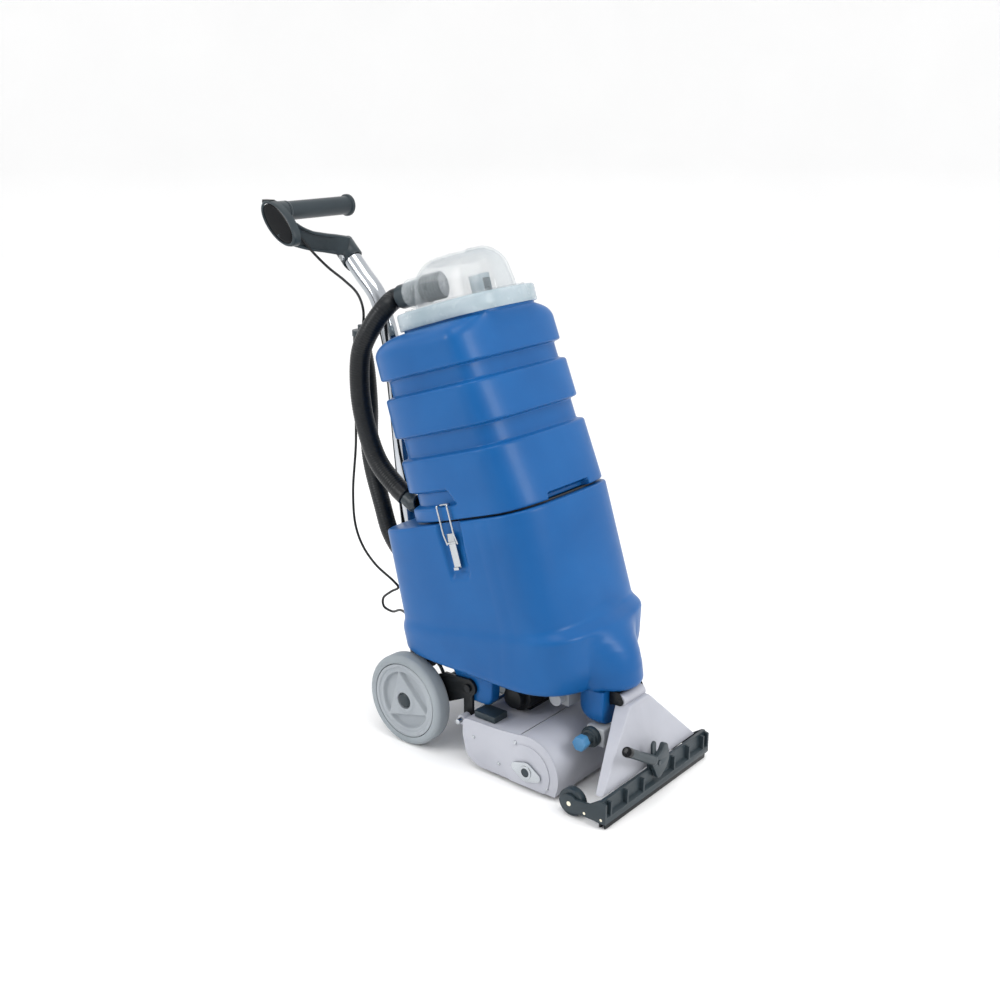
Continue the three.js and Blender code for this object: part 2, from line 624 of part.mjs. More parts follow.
function hub(inner, outer) {
  const rim = WHEEL.radius - WHEEL.tyre - GAP;
  const body = turned([
    [7.4, inner + 1], [rim, inner + 1], [rim, outer - 1.4], [rim - 5, outer - 1.4], [rim - 7, outer - 4],
    [26, outer - 4], [22, outer - 2], [16, outer - 2], [16, outer - 6.6], [7.4, outer - 6.6], [7.4, inner + 1],
  ], 0, 0, 30);
  const pockets = [0, 1, 2].map((i) => {
    const shape = new THREE.Shape();
    shape.absarc(0, 0, 58, -0.62, 0.62);
    shape.lineTo(34 * Math.cos(0.5), 34 * Math.sin(0.5));
    shape.absarc(0, 0, 34, 0.5, -0.5, true);
    shape.closePath();
    return plate(shape, outer - 12, outer + 10, 6).rotateY((i * 2 * Math.PI) / 3 + 0.35);
  });
  return cut(body, ...pockets).translate(AXLE.x, 0, AXLE.z);
}

SIDES.forEach(([name, side]) => {
  const tyre = turned(tyreProfile(WHEEL.outer - WHEEL.width, WHEEL.outer), AXLE.x, AXLE.z, 36);
  const wheelHub = hub(WHEEL.outer - WHEEL.width, WHEEL.outer);
  if (side < 0) {
    tyre.rotateZ(Math.PI).translate(2 * AXLE.x, 0, 0);
    wheelHub.rotateZ(Math.PI).translate(2 * AXLE.x, 0, 0);
  }
  add(`tyre_${name}`, tyre, MID_GREY);
  add(`hub_${name}`, wheelHub, GREY);
});

// ---------- brush deck ----------
function deckShape(offset) {
  const cover = DECK.cover - offset;
  const shape = new THREE.Shape();
  shape.moveTo(BRUSH.x - 6, DECK.bottom);
  shape.lineTo(DECK.back + 45, DECK.bottom);
  shape.quadraticCurveTo(DECK.back + 12, DECK.bottom + 4, DECK.back + 6 + offset, DECK.bottom + 28);
  shape.lineTo(DECK.back + offset, DECK.bottom + 54);
  shape.lineTo(DECK.back + offset, DECK.top - 14);
  shape.quadraticCurveTo(DECK.back + offset, DECK.top - 2 - offset, DECK.back + 22, DECK.top - 2 - offset);
  shape.lineTo(-45, DECK.top - offset);
  shape.lineTo(BRUSH.x - 20, BRUSH.z + Math.sqrt(cover * cover - 400));
  shape.absarc(BRUSH.x, BRUSH.z, cover, 1.87, -0.25, true);
  shape.lineTo(BRUSH.x + cover * 0.9, DECK.bottom);
  shape.closePath();
  return shape;
}

// The housing's top is open over the belt run.
function deckHousing() {
  const outer = plate(deckShape(0), -DECK.half + 4, DECK.half - 4, 12);
  const inner = plate(deckShape(DECK.wall), -DECK.half + 7, DECK.half - 7, 12).translate(0, 0, -0.01);
  const under = box(DECK.back + 22, BRUSH.x + 58, -DECK.half + 7, DECK.half - 7, 0, DECK.bottom + 12);
  const beltSlot = box(-100, 12, 116, 136, 60, 130);
  const shaftHole = roller(BRUSH.x, BRUSH.z, 15, -DECK.half, DECK.half, 16);
  const knuckles = SIDES.map(([, side]) => join(
    roller(DECK_PIVOT.x, DECK_PIVOT.z, 9, ...span(side, 121, 139), 18),
    box(DECK_PIVOT.x, DECK.back + 2, ...span(side, 121, 139), DECK_PIVOT.z - 9, DECK_PIVOT.z + 5),
  ));
  const pivotBore = roller(DECK_PIVOT.x, DECK_PIVOT.z, 5.4, -160, 160, 16);
  return cut(join(cut(outer, inner, under, shaftHole, beltSlot), ...knuckles), pivotBore);
}
add('deck_housing', deckHousing(), GREY);

SIDES.forEach(([name, side]) => {
  const sheet = plate(deckShape(0), ...span(side, DECK.half - 4 + GAP, DECK.half), 12);
  const arch = roller(BRUSH.x, BRUSH.z, 50, ...span(side, DECK.half - 4 + GAP, DECK.half + 2), 28);
  const keep = plate(deckShape(1), ...span(side, DECK.half - 6, DECK.half + 6), 12);
  const shaftHole = roller(BRUSH.x, BRUSH.z, 15, -160, 160, 16);
  const raised = toGeometry(toSolid(arch).intersect(toSolid(keep)));
  add(`deck_end_plate_${name}`, cut(join(sheet, raised), shaftHole), GREY);

  const oval = new THREE.Shape();
  oval.absarc(24, 0, 9, -Math.PI / 2.6, Math.PI / 2.6);
  oval.absarc(0, 0, 19, Math.PI / 3.2, Math.PI - Math.PI / 3.2);
  oval.absarc(-24, 0, 9, Math.PI - Math.PI / 2.6, Math.PI + Math.PI / 2.6);
  oval.absarc(0, 0, 19, Math.PI + Math.PI / 3.2, 2 * Math.PI - Math.PI / 3.2);
  oval.closePath();
  const flange = plate(oval, ...span(side, DECK.half + 2 + GAP, DECK.half + 6), 5)
    .rotateY(THREE.MathUtils.degToRad(8)).translate(BRUSH.x, 0, BRUSH.z);
  const boss = roller(BRUSH.x, BRUSH.z, 13, ...span(side, DECK.half - 2, DECK.half + 8), 20);
  const bore = roller(BRUSH.x, BRUSH.z, 8.4, -170, 170, 16);
  add(`flange_bearing_${name}`, cut(join(flange, boss), bore), STEEL);
});

add('brush_roller', turned([
  [0, -153], [7.5, -153], [8, -152.5], [8, -BRUSH.half - 1], [20, -BRUSH.half - 1], [20, -BRUSH.half + 2],
  [BRUSH.radius - 1.5, -BRUSH.half + 3], [BRUSH.radius, -BRUSH.half + 5], [BRUSH.radius, 104],
  [BRUSH.radius - 1.5, 106], [20, 107], [8, 107], [8, 152.5], [7.5, 153], [0, 153],
], BRUSH.x, BRUSH.z, 28), BLACK);

const keyed = (outer, y0, y1, x, z) => cut(
  turned([[0, y0], [outer + 2, y0], [outer + 2, y0 + 1.5], [outer, y0 + 2], [outer, y1 - 2], [outer + 2, y1 - 1.5],
    [outer + 2, y1], [0, y1]], x, z, 24),
  roller(x, z, 8.4, y0 - 1, y1 + 1, 16),
);
add('brush_pulley', keyed(PULLEY.brush, PULLEY.y - PULLEY.width / 2, PULLEY.y + PULLEY.width / 2, BRUSH.x, BRUSH.z), CHARCOAL);

function beltLoop(grow) {
  const dx = MOTOR.x - BRUSH.x;
  const dz = MOTOR.z - BRUSH.z;
  const distance = Math.hypot(dx, dz);
  const big = PULLEY.brush + grow;
  const small = PULLEY.motor + grow;
  const tilt = Math.atan2(dz, dx);
  const open = Math.acos((big - small) / distance);
  const shape = new THREE.Shape();
  shape.absarc(BRUSH.x, BRUSH.z, big, tilt + open, tilt - open, false);
  shape.absarc(MOTOR.x, MOTOR.z, small, tilt - open, tilt + open, false);
  shape.closePath();
  return shape;
}

add('drive_belt', cut(plate(beltLoop(3), PULLEY.y - 3.5, PULLEY.y + 3.5, 12), plate(beltLoop(GAP), PULLEY.y - 6, PULLEY.y + 6, 12)), RUBBER);

add('brush_motor', cut(
  join(
    roller(MOTOR.x, MOTOR.z, MOTOR.radius, -70, 80, 28),
    roller(MOTOR.x, MOTOR.z, 20, -86, -68, 20),
    box(MOTOR.x - 26, MOTOR.x + 14, -50, 70, DECK.top + GAP, MOTOR.z),
  ),
  roller(MOTOR.x, MOTOR.z, 5.4, 58, 120, 12),
), BLACK);
add('motor_pulley', join(
  turned([[0, 118], [15, 118], [15, 119.5], [PULLEY.motor, 120], [PULLEY.motor, 132], [15, 132.5], [15, 134], [0, 134]],
    MOTOR.x, MOTOR.z, 20),
  roller(MOTOR.x, MOTOR.z, 5, 62, 119, 12),
), STEEL);

add('terminal_box', box(-112, -64, -134, -98, DECK.top + GAP, DECK.top + 12.5), BLACK);
add('solution_pump', join(
  box(0, 36, -44, 16, 132, BASE_Z - GAP),
  roller(18, 148, 13, -62, -40, 16),
), GREY);
add('deck_pivot_rod', rod(at(DECK_PIVOT.x, -150, DECK_PIVOT.z), at(DECK_PIVOT.x, 150, DECK_PIVOT.z), 5, 12), STEEL);

// ---------- solution valve ----------
add('valve_block', box(VALVE.x - 11, VALVE.x + 11, -62, -28, 86, LEG.bottom - GAP), GREY);
add('spray_bar', join(
  rod(at(VALVE.x + 11 + GAP, -46, 96), at(122, -46, 96), 5, 12),
  rod(at(122, -122, 96), at(122, 122, 96), 5.5, 12),
  ...[-100, -50, 0, 50, 100].map((y) => rod(at(122, y, 96), at(122, y, 82), 4, 10)),
), BLACK);
add('valve_barrel', join(
  roller(VALVE.x - 2, VALVE.z - 6, 14, -69, -62 - GAP, 20),
  roller(VALVE.x - 2, VALVE.z - 6, 10.5, -86, -68, 20),
), CHARCOAL);
add('valve_cap', roller(VALVE.x - 2, VALVE.z - 6, 9.5, -104, -86 - GAP, 16), { ...BLUE, color: 0x2c6f9f });

// ---------- vacuum shoe ----------
function shoeSolid(inset, deep) {
  const section = (z) => {
    const t = (z - SHOE.footZ) / (SHOE.topZ - SHOE.footZ);
    const front = THREE.MathUtils.lerp(SHOE.footX, SHOE.topX, t) - inset;
    const back = front + 2 * inset - THREE.MathUtils.lerp(SHOE.footDepth, SHOE.topDepth, t);
    const half = THREE.MathUtils.lerp(SHOE.footHalf, SHOE.topHalf, t) - inset;
    return [at(back, -half, z), at(front, -half, z), at(front, half, z), at(back, half, z)];
  };
  return loft([section(SHOE.footZ - (deep ? 20 : 0)), section(SHOE.topZ - 4 - (deep ? 14 : 0))]);
}

function vacShoe() {
  const funnel = cut(shoeSolid(0, false), shoeSolid(4, true));
  const knuckle = roller(SHOE_PIVOT.x, SHOE_PIVOT.z, 12, -SHOE.topHalf, SHOE.topHalf, 20);
  const pinHole = roller(SHOE_PIVOT.x, SHOE_PIVOT.z, 5.3, -40, 40, 14);
  const reliefs = SIDES.map(([, side]) => box(110, SHOE_PIVOT.x + 13, ...span(side, 27.6, 34), 150, 200));
  return cut(join(funnel, knuckle), pinHole, ...reliefs);
}
add('vac_shoe', vacShoe(), GREY);
add('shoe_bracket', join(
  box(SHOE_SLOT.back + GAP, SHOE_SLOT.back + 5, -33, 33, 138, SHOE_SLOT.top - GAP),
  ...SIDES.map(([, side]) => box(SHOE_SLOT.back + 2, SHOE_PIVOT.x + 11, ...span(side, 28, 33), 158, SHOE_SLOT.top - GAP)),
  roller(SHOE_PIVOT.x, SHOE_PIVOT.z, 5, -38, 38, 14),
), BLACK);

function squeegeeFrame() {
  const { x, half, top, low } = SQUEEGEE;
  const section = polygon([
    [x - 4, low], [x + 15, low], [x + 15, low + 12], [x + 7, low + 15], [x + 7, top], [x + 1, top], [x + 1, low + 18],
    [x - 4, low + 14],
  ]);
  const rail = plate(section, -half, half);
  const ribs = [-150, -100, -50, 50, 100, 150].map((y) => box(x + 5, x + 15, y - 2, y + 2, low + 10, top - 4));
  const ends = SIDES.map(([, side]) => {
    const shape = new THREE.Shape();
    shape.moveTo(x + 15, low);
    shape.lineTo(x + 15, top - 4);
    shape.lineTo(x, top);
    shape.lineTo(x - 20, 40);
    shape.lineTo(END_ROLLER.x + 14, END_ROLLER.z + 12);
    shape.absarc(END_ROLLER.x, END_ROLLER.z, 17, 0.8, 4.6);
    shape.lineTo(x - 34, low + 1);
    shape.closePath();
    return plate(shape, ...span(side, half - 5, half), 8);
  });
  const ear = box(x + 1, x + 7, LEVER_PIVOT.y - 15, LEVER_PIVOT.y + 15, top - 2, LEVER_PIVOT.z + 12);
  const pin = rod(at(x + 5, LEVER_PIVOT.y, LEVER_PIVOT.z), at(x + 19, LEVER_PIVOT.y, LEVER_PIVOT.z), 4.6, 12);
  const axles = SIDES.map(([, side]) => roller(END_ROLLER.x, END_ROLLER.z, 4.7, ...span(side, half - 24, half - 3), 12));
  return join(rail, ...ribs, ...ends, ear, pin, ...axles);
}
add('squeegee_frame', squeegeeFrame(), CHARCOAL);

const bladeSize = SQUEEGEE.half - 6;
add('blade_front', box(SQUEEGEE.x + 8, SQUEEGEE.x + 12, -bladeSize, bladeSize, 0.6, SQUEEGEE.low - GAP), RUBBER);
add('blade_rear', box(SQUEEGEE.x - 2, SQUEEGEE.x + 2, -bladeSize, bladeSize, 0.6, SQUEEGEE.low - GAP), RUBBER);

SIDES.forEach(([name, side]) => {
  const [y0, y1] = span(side, SQUEEGEE.half - 6 - END_ROLLER.width, SQUEEGEE.half - 6);
  add(`end_roller_${name}`, cut(
    roller(END_ROLLER.x, END_ROLLER.z, END_ROLLER.radius, y0, y1, 32),
    roller(END_ROLLER.x, END_ROLLER.z, 5.1, y0 - 1, y1 + 1, 14),
  ), CHARCOAL);
});

// Cam lever: a round arm, two raised ears and a short tip, turning on one pin.
function clampLever() {
  const shape = polygon([
    [-8, -36], [7, -34], [12, -12], [34, 12], [32, 26], [20, 27], [7, 14], [2, 44], [-8, 50], [-18, 43], [-16, 12],
    [-17, -4],
  ]);
  const back = SQUEEGEE.x + 7 + GAP;
  const body = panel(shape, back, back + 9);
  const arm = rod(at(back + 8.5, 0, 2), at(back + 8.5, -101, 64), 8, 14);
  const hole = rod(at(back - 5, 0, 0), at(back + 30, 0, 0), 5, 14);
  return cut(join(body, arm), hole).translate(0, LEVER_PIVOT.y, LEVER_PIVOT.z);
}
add('clamp_lever', clampLever(), CHARCOAL);

// ---------- over-centre latches ----------
SIDES.forEach(([name, side]) => {
  const across = (y0, y1) => span(side, LATCH.y + y0, LATCH.y + y1);
  const lever = join(
    box(LATCH.u - 8, LATCH.u + 8, ...across(-3, 0), LATCH.free, LATCH.pivot + 5),
    rod(at(LATCH.u - 10, side * (LATCH.y - 1), LATCH.pin), at(LATCH.u + 10, side * (LATCH.y - 1), LATCH.pin), 2.4, 10),
    box(LATCH.u - 6, LATCH.u + 6, ...across(-2, 5), LATCH.free - 3, LATCH.free + 2),
  );
  add(`latch_lever_${name}`, lever, STEEL, tankFrame);
  const leg = (u) => [
    at(u, side * (LATCH.y - 1), LATCH.pin - 3), at(u, side * (LATCH.y + 3), LATCH.pin + 16),
    at(u, side * (LATCH.y + 3), LATCH.bar), at(u, side * (LATCH.y - 6), LATCH.bar),
  ];
  const bail = [...leg(LATCH.u - 12.5), ...leg(LATCH.u + 12.5).reverse()];
  add(`latch_bail_${name}`, wire(bail, 1.8), STEEL, tankFrame);
});

// ---------- vacuum motor in the lower tank ----------
add('vacuum_motor', join(
  rod(at(-196, 0, BASE_Z + 8 + GAP), at(-196, 0, 250), 58, 24),
  rod(at(-196, 0, 248), at(-196, 0, 296), 42, 24),
), STEEL);

export default machine;
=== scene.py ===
"""Walk-behind carpet extractor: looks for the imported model. Shapes are built in millimetres, in the
machine's own frame or in the leaning tank frame, and carried into the row frame in metres."""

import json
import math

import bmesh
import bpy
import numpy as np
from mathutils import Matrix, Vector

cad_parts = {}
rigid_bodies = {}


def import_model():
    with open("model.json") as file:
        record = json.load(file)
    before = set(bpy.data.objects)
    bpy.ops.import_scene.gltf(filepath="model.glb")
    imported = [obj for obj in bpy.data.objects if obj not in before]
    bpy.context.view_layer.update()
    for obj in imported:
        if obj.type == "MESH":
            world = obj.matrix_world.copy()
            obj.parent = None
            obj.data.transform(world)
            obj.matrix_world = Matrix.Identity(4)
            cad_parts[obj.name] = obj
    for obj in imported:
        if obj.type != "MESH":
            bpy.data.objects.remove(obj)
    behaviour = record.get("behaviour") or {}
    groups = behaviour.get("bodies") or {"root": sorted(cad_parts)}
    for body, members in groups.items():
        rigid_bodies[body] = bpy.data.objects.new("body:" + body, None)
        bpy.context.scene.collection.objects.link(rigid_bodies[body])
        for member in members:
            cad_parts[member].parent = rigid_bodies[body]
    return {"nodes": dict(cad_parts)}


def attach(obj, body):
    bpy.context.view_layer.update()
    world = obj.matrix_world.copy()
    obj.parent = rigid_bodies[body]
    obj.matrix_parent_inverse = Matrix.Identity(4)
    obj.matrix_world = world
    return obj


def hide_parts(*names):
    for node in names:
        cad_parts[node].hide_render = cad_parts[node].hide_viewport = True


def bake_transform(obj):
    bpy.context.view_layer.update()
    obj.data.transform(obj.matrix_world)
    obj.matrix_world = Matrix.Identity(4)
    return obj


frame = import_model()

for leftover in ("Cube", "Light", "Camera"):
    if leftover in bpy.data.objects:
        bpy.data.objects.remove(bpy.data.objects[leftover])
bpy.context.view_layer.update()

# ---------- frames ----------
LEAN = math.radians(17.84)
MACHINE = Matrix.Scale(0.001, 4) @ Matrix.Translation((223.6, 0, 0))
TANK_IN_MACHINE = Matrix.Translation((-77.8, 0, 505.4)) @ Matrix.Rotation(-LEAN, 4, "Y")
TANK = MACHINE @ TANK_IN_MACHINE


def tank(u, v, w):
    return TANK_IN_MACHINE @ Vector((u, v, w))


# ---------- camera ----------
camera = bpy.data.objects.new("camera", bpy.data.cameras.new("camera"))
camera.data.lens = 47.007
camera.data.sensor_width = 36
camera.location = (1.5244, -1.775, 1.2159)
camera.rotation_euler = (math.radians(72.14), 0, math.radians(39.49))
bpy.context.collection.objects.link(camera)
bpy.context.scene.camera = camera


# ---------- materials ----------
def linear(r, g, b):
    return tuple(((c / 255 + 0.055) / 1.055) ** 2.4 if c > 10 else c / 255 / 12.92 for c in (r, g, b)) + (1,)


def look(name, dark, light, rough, metal=0.0, grain=900, grain_height=0.08, mottle=7, spread=0.06, **sockets):
    """Two-tone procedural surface: broad colour drift, fine grain in the bump, uneven gloss."""
    material = bpy.data.materials.new(name)
    material.use_nodes = True
    nodes, links = material.node_tree.nodes, material.node_tree.links
    surface = nodes["Principled BSDF"]
    place = nodes.new("ShaderNodeTexCoord")

    def noise(scale, detail=4.0, distortion=0.0):
        node = nodes.new("ShaderNodeTexNoise")
        node.inputs["Scale"].default_value = scale
        node.inputs["Detail"].default_value = detail
        node.inputs["Distortion"].default_value = distortion
        links.new(place.outputs["Object"], node.inputs["Vector"])
        return node.outputs["Fac"]

    tones = nodes.new("ShaderNodeValToRGB")
    tones.color_ramp.elements[0].position = 0.32
    tones.color_ramp.elements[0].color = linear(*dark)
    tones.color_ramp.elements[1].position = 0.68
    tones.color_ramp.elements[1].color = linear(*light)
    links.new(noise(mottle, 5, 0.4), tones.inputs["Fac"])
    links.new(tones.outputs["Color"], surface.inputs["Base Color"])
    gloss = nodes.new("ShaderNodeMapRange")
    gloss.inputs["To Min"].default_value = max(rough - spread, 0.02)
    gloss.inputs["To Max"].default_value = rough + spread
    links.new(noise(mottle * 6, 6), gloss.inputs["Value"])
    links.new(gloss.outputs["Result"], surface.inputs["Roughness"])
    if grain_height:
        bump = nodes.new("ShaderNodeBump")
        bump.inputs["Strength"].default_value = grain_height
        bump.inputs["Distance"].default_value = 0.0004
        links.new(noise(grain, 3), bump.inputs["Height"])
        links.new(bump.outputs["Normal"], surface.inputs["Normal"])
    surface.inputs["Metallic"].default_value = metal
    for socket, value in sockets.items():
        surface.inputs[socket.replace("_", " ")].default_value = value
    return material


LOOKS = {
    "tank_blue": look("tank_blue", (13, 79, 138), (19, 87, 148), 0.34, grain=1400, grain_height=0.06,
                      Specular_IOR_Level=0.2, Coat_Weight=0.03, Coat_Roughness=0.15),
    "clear_cover": look("clear_cover", (186, 195, 200), (200, 208, 212), 0.07, grain_height=0.02, grain=60,
                        spread=0.02, Specular_IOR_Level=0.7),
    "milky_collar": look("milky_collar", (158, 176, 184), (184, 198, 206), 0.26, grain_height=0.03, mottle=14, Alpha=0.66),
    "black_rubber": look("black_rubber", (9, 12, 15), (19, 23, 27), 0.36, grain=700, grain_height=0.12,
                         Specular_IOR_Level=0.28),
    "tyre_grey": look("tyre_grey", (128, 136, 141), (144, 151, 156), 0.6, grain=600, grain_height=0.25),
    "dark_plastic": look("dark_plastic", (29, 39, 45), (44, 55, 61), 0.36, grain=1100, grain_height=0.14,
                         Specular_IOR_Level=0.34),
    "black_steel": look("black_steel", (12, 14, 16), (24, 27, 30), 0.36, metal=0.2, grain=500, grain_height=0.16,
                        Specular_IOR_Level=0.3),
    "grey_housing": look("grey_housing", (160, 162, 171), (174, 176, 184), 0.46, grain=800, grain_height=0.12),
    "wheel_grey": look("wheel_grey", (140, 146, 152), (155, 161, 166), 0.5, grain=800, grain_height=0.15),
    "grey_plastic": look("grey_plastic", (150, 154, 158), (168, 171, 175), 0.48, grain=800, grain_height=0.12),
    "chrome_tube": look("chrome_tube", (158, 163, 169), (184, 188, 193), 0.1, metal=1.0, grain=200,
                        grain_height=0.02, spread=0.04),
    "plain_steel": look("plain_steel", (158, 162, 166), (190, 194, 197), 0.24, metal=1.0, grain=420,
                        grain_height=0.08),
    "cream_plastic": look("cream_plastic", (222, 214, 190), (236, 229, 208), 0.45),
    "cap_blue": look("cap_blue", (52, 108, 152), (72, 130, 172), 0.4, grain=700, grain_height=0.15),
    "gasket_rubber": look("gasket_rubber", (30, 32, 35), (42, 44, 48), 0.6, grain=500, grain_height=0.3),
    "gloss_black": look("gloss_black", (4, 6, 9), (9, 12, 16), 0.16, grain=300, grain_height=0.03,
                        Specular_IOR_Level=0.16),
}


def clear_at_centre(material, facing, edge):
    """A thin clear shell: nearly invisible face on, denser where it is seen along its wall."""
    nodes, links = material.node_tree.nodes, material.node_tree.links
    weight = nodes.new("ShaderNodeLayerWeight")
    weight.inputs["Blend"].default_value = 0.35
    span = nodes.new("ShaderNodeMapRange")
    span.inputs["To Min"].default_value = facing
    span.inputs["To Max"].default_value = edge
    links.new(weight.outputs["Facing"], span.inputs["Value"])
    links.new(span.outputs["Result"], nodes["Principled BSDF"].inputs["Alpha"])


clear_at_centre(LOOKS["clear_cover"], 0.06, 0.6)


# ---------- mesh helpers ----------
def piece(name, mesh, look_name, body, nodes=(), matrix=MACHINE, crease=38):
    """Closes a bmesh into an object: carried into the row frame, shaded smooth with marked creases."""
    bmesh.ops.remove_doubles(mesh, verts=mesh.verts, dist=0.002)
    bmesh.ops.transform(mesh, matrix=matrix, verts=mesh.verts)
    bmesh.ops.recalc_face_normals(mesh, faces=mesh.faces)
    limit = math.radians(crease)
    for face in mesh.faces:
        face.smooth = True
    for edge in mesh.edges:
        edge.smooth = not (edge.is_manifold and edge.calc_face_angle(0) > limit)
    data = bpy.data.meshes.new(name)
    mesh.to_mesh(data)
    mesh.free()
    obj = bpy.data.objects.new(name, data)
    obj.data.materials.append(LOOKS[look_name])
    bpy.context.collection.objects.link(obj)
    if body:
        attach(obj, body)
    if nodes:
        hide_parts(*nodes)
    return obj


def skin(mesh, rings, ends=True, wrap=False):
    """Quads through a stack of closed rings; wrap joins the last ring to the first."""
    rows = [[mesh.verts.new(p) for p in ring] for ring in rings]
    count = len(rows[0])
    pairs = list(zip(rows, rows[1:])) + ([(rows[-1], rows[0])] if wrap else [])
    for low, high in pairs:
        for i in range(count):
            j = (i + 1) % count
            mesh.faces.new((low[i], low[j], high[j], high[i]))
    if ends and not wrap:
        mesh.faces.new(rows[0][::-1])
        mesh.faces.new(rows[-1])
    return rows


def lathe(mesh, profile, x, z, steps=64, closed=False):
    """Revolves (radius, y) points about the cross axis through (x, z)."""
    rings = []
    for radius, y in profile:
        r = max(radius, 0.01)
        rings.append([Vector((x + r * math.cos(2 * math.pi * i / steps), y, z + r * math.sin(2 * math.pi * i / steps)))
                      for i in range(steps)])
    return skin(mesh, rings, wrap=closed)


def softened(points, cuts, arc=4, rows=1, closed=False):
    """Polyline with each corner turned into a small curve; rows splits the straight runs between."""
    points = [Vector(p) for p in points]
    count = len(points)
    cuts = [cuts] * count if isinstance(cuts, (int, float)) else list(cuts)
    splits = [rows] * count if isinstance(rows, int) else list(rows)
    out = []

    def corner(k):
        before, here, after = points[k - 1], points[k], points[(k + 1) % count]
        into, leave = here - before, after - here
        a = here - into.normalized() * min(cuts[k], into.length * 0.49)
        b = here + leave.normalized() * min(cuts[k], leave.length * 0.49)
        if cuts[k] <= 0:
            return [here]
        return [a.lerp(here, t).lerp(here.lerp(b, t), t) for t in (i / arc for i in range(arc + 1))]

    chunks = [corner(k) if closed or 0 < k < count - 1 else [points[k]] for k in range(count)]
    for k, chunk in enumerate(chunks):
        out += chunk
        if k < count - 1 or closed:
            nxt = chunks[(k + 1) % count][0]
            out += [chunk[-1].lerp(nxt, i / splits[k]) for i in range(1, splits[k])]
    return out


def smooth_path(points, per_span=8):
    """Centripetal Catmull-Rom curve through the points."""
    points = [Vector(p) for p in points]
    ends = [points[0] * 2 - points[1]] + points + [points[-1] * 2 - points[-2]]
    out = []
    for k in range(1, len(ends) - 2):
        p = ends[k - 1:k + 3]
        t = [0.0]
        for a, b in zip(p, p[1:]):
            t.append(t[-1] + max((b - a).length, 1e-6) ** 0.5)
        for i in range(per_span):
            s = t[1] + (t[2] - t[1]) * i / per_span
            low = [p[j] * ((t[j + 1] - s) / (t[j + 1] - t[j])) + p[j + 1] * ((s - t[j]) / (t[j + 1] - t[j])) for j in range(3)]
            mid = [low[j] * ((t[j + 2] - s) / (t[j + 2] - t[j])) + low[j + 1] * ((s - t[j]) / (t[j + 2] - t[j])) for j in range(2)]
            out.append(mid[0] * ((t[2] - s) / (t[2] - t[1])) + mid[1] * ((s - t[1]) / (t[2] - t[1])))
    out.append(points[-1])
    return out


def even(path, step):
    """The same curve with points a fixed step apart."""
    lengths = [0.0]
    for a, b in zip(path, path[1:]):
        lengths.append(lengths[-1] + (b - a).length)
    count = max(2, round(lengths[-1] / step))
    out, k = [], 0
    for i in range(count + 1):
        s = lengths[-1] * i / count
        while k < len(path) - 2 and lengths[k + 1] < s:
            k += 1
        out.append(path[k].lerp(path[k + 1], (s - lengths[k]) / max(lengths[k + 1] - lengths[k], 1e-9)))
    return out


def along(path, start=(0.13, 0.4, 1)):
    """(point, across, up) along a path, with no twist."""
    side = Vector(start)
    out = []
    for k, p in enumerate(path):
        ahead = (path[min(k + 1, len(path) - 1)] - path[max(k - 1, 0)]).normalized()
        side = (side - ahead * side.dot(ahead)).normalized()
        out.append((p, side.copy(), ahead.cross(side)))
    return out


def tube(mesh, path, radius, sides=24, round_end=0.0):
    """Round bar or hose along a path; radius is a number or a function of the distance along it."""
    rings = []
    distance = 0.0
    total = sum((b - a).length for a, b in zip(path, path[1:]))
    for k, (p, side, up) in enumerate(along(path)):
        distance += (p - path[k - 1]).length if k else 0
        r = radius(distance, total) if callable(radius) else radius
        if round_end:
            inset = round_end - min(distance, total - distance, round_end)
            r -= round_end - math.sqrt(max(round_end ** 2 - inset ** 2, 0))
        r = max(r, 0.05)
        rings.append([p + side * (r * math.cos(2 * math.pi * i / sides)) + up * (r * math.sin(2 * math.pi * i / sides))
                      for i in range(sides)])
    return skin(mesh, rings)


def rod(mesh, a, b, radius, edge=0.8, sides=32):
    """Cylinder between two points with softened rims."""
    a, b = Vector(a), Vector(b)
    axis = (b - a).normalized()
    stations = [(0, radius - edge), (edge * 0.3, radius - edge * 0.3), (edge, radius)]
    length = (b - a).length
    stations += [(length - s, r) for s, r in stations[::-1]]
    side = axis.orthogonal().normalized()
    up = axis.cross(side)
    skin(mesh, [[a + axis * s + side * (r * math.cos(2 * math.pi * i / sides)) + up * (r * math.sin(2 * math.pi * i / sides))
                 for i in range(sides)] for s, r in stations])


def block(mesh, low, high, edge=1.5, steps=3, matrix=None):
    """Box with rounded edges."""
    made = bmesh.ops.create_cube(mesh, size=1)["verts"]
    size = [h - l for l, h in zip(low, high)]
    middle = [(h + l) / 2 for l, h in zip(low, high)]
    bmesh.ops.transform(mesh, matrix=Matrix.Translation(middle) @ Matrix.Diagonal((*size, 1)), verts=made)
    edges = list({e for v in made for e in v.link_edges})
    result = bmesh.ops.bevel(mesh, geom=edges, offset=edge, segments=steps, profile=0.5, affect="EDGES")
    if matrix:
        verts = {v for f in result["faces"] for v in f.verts}
        bmesh.ops.transform(mesh, matrix=matrix, verts=list(verts))


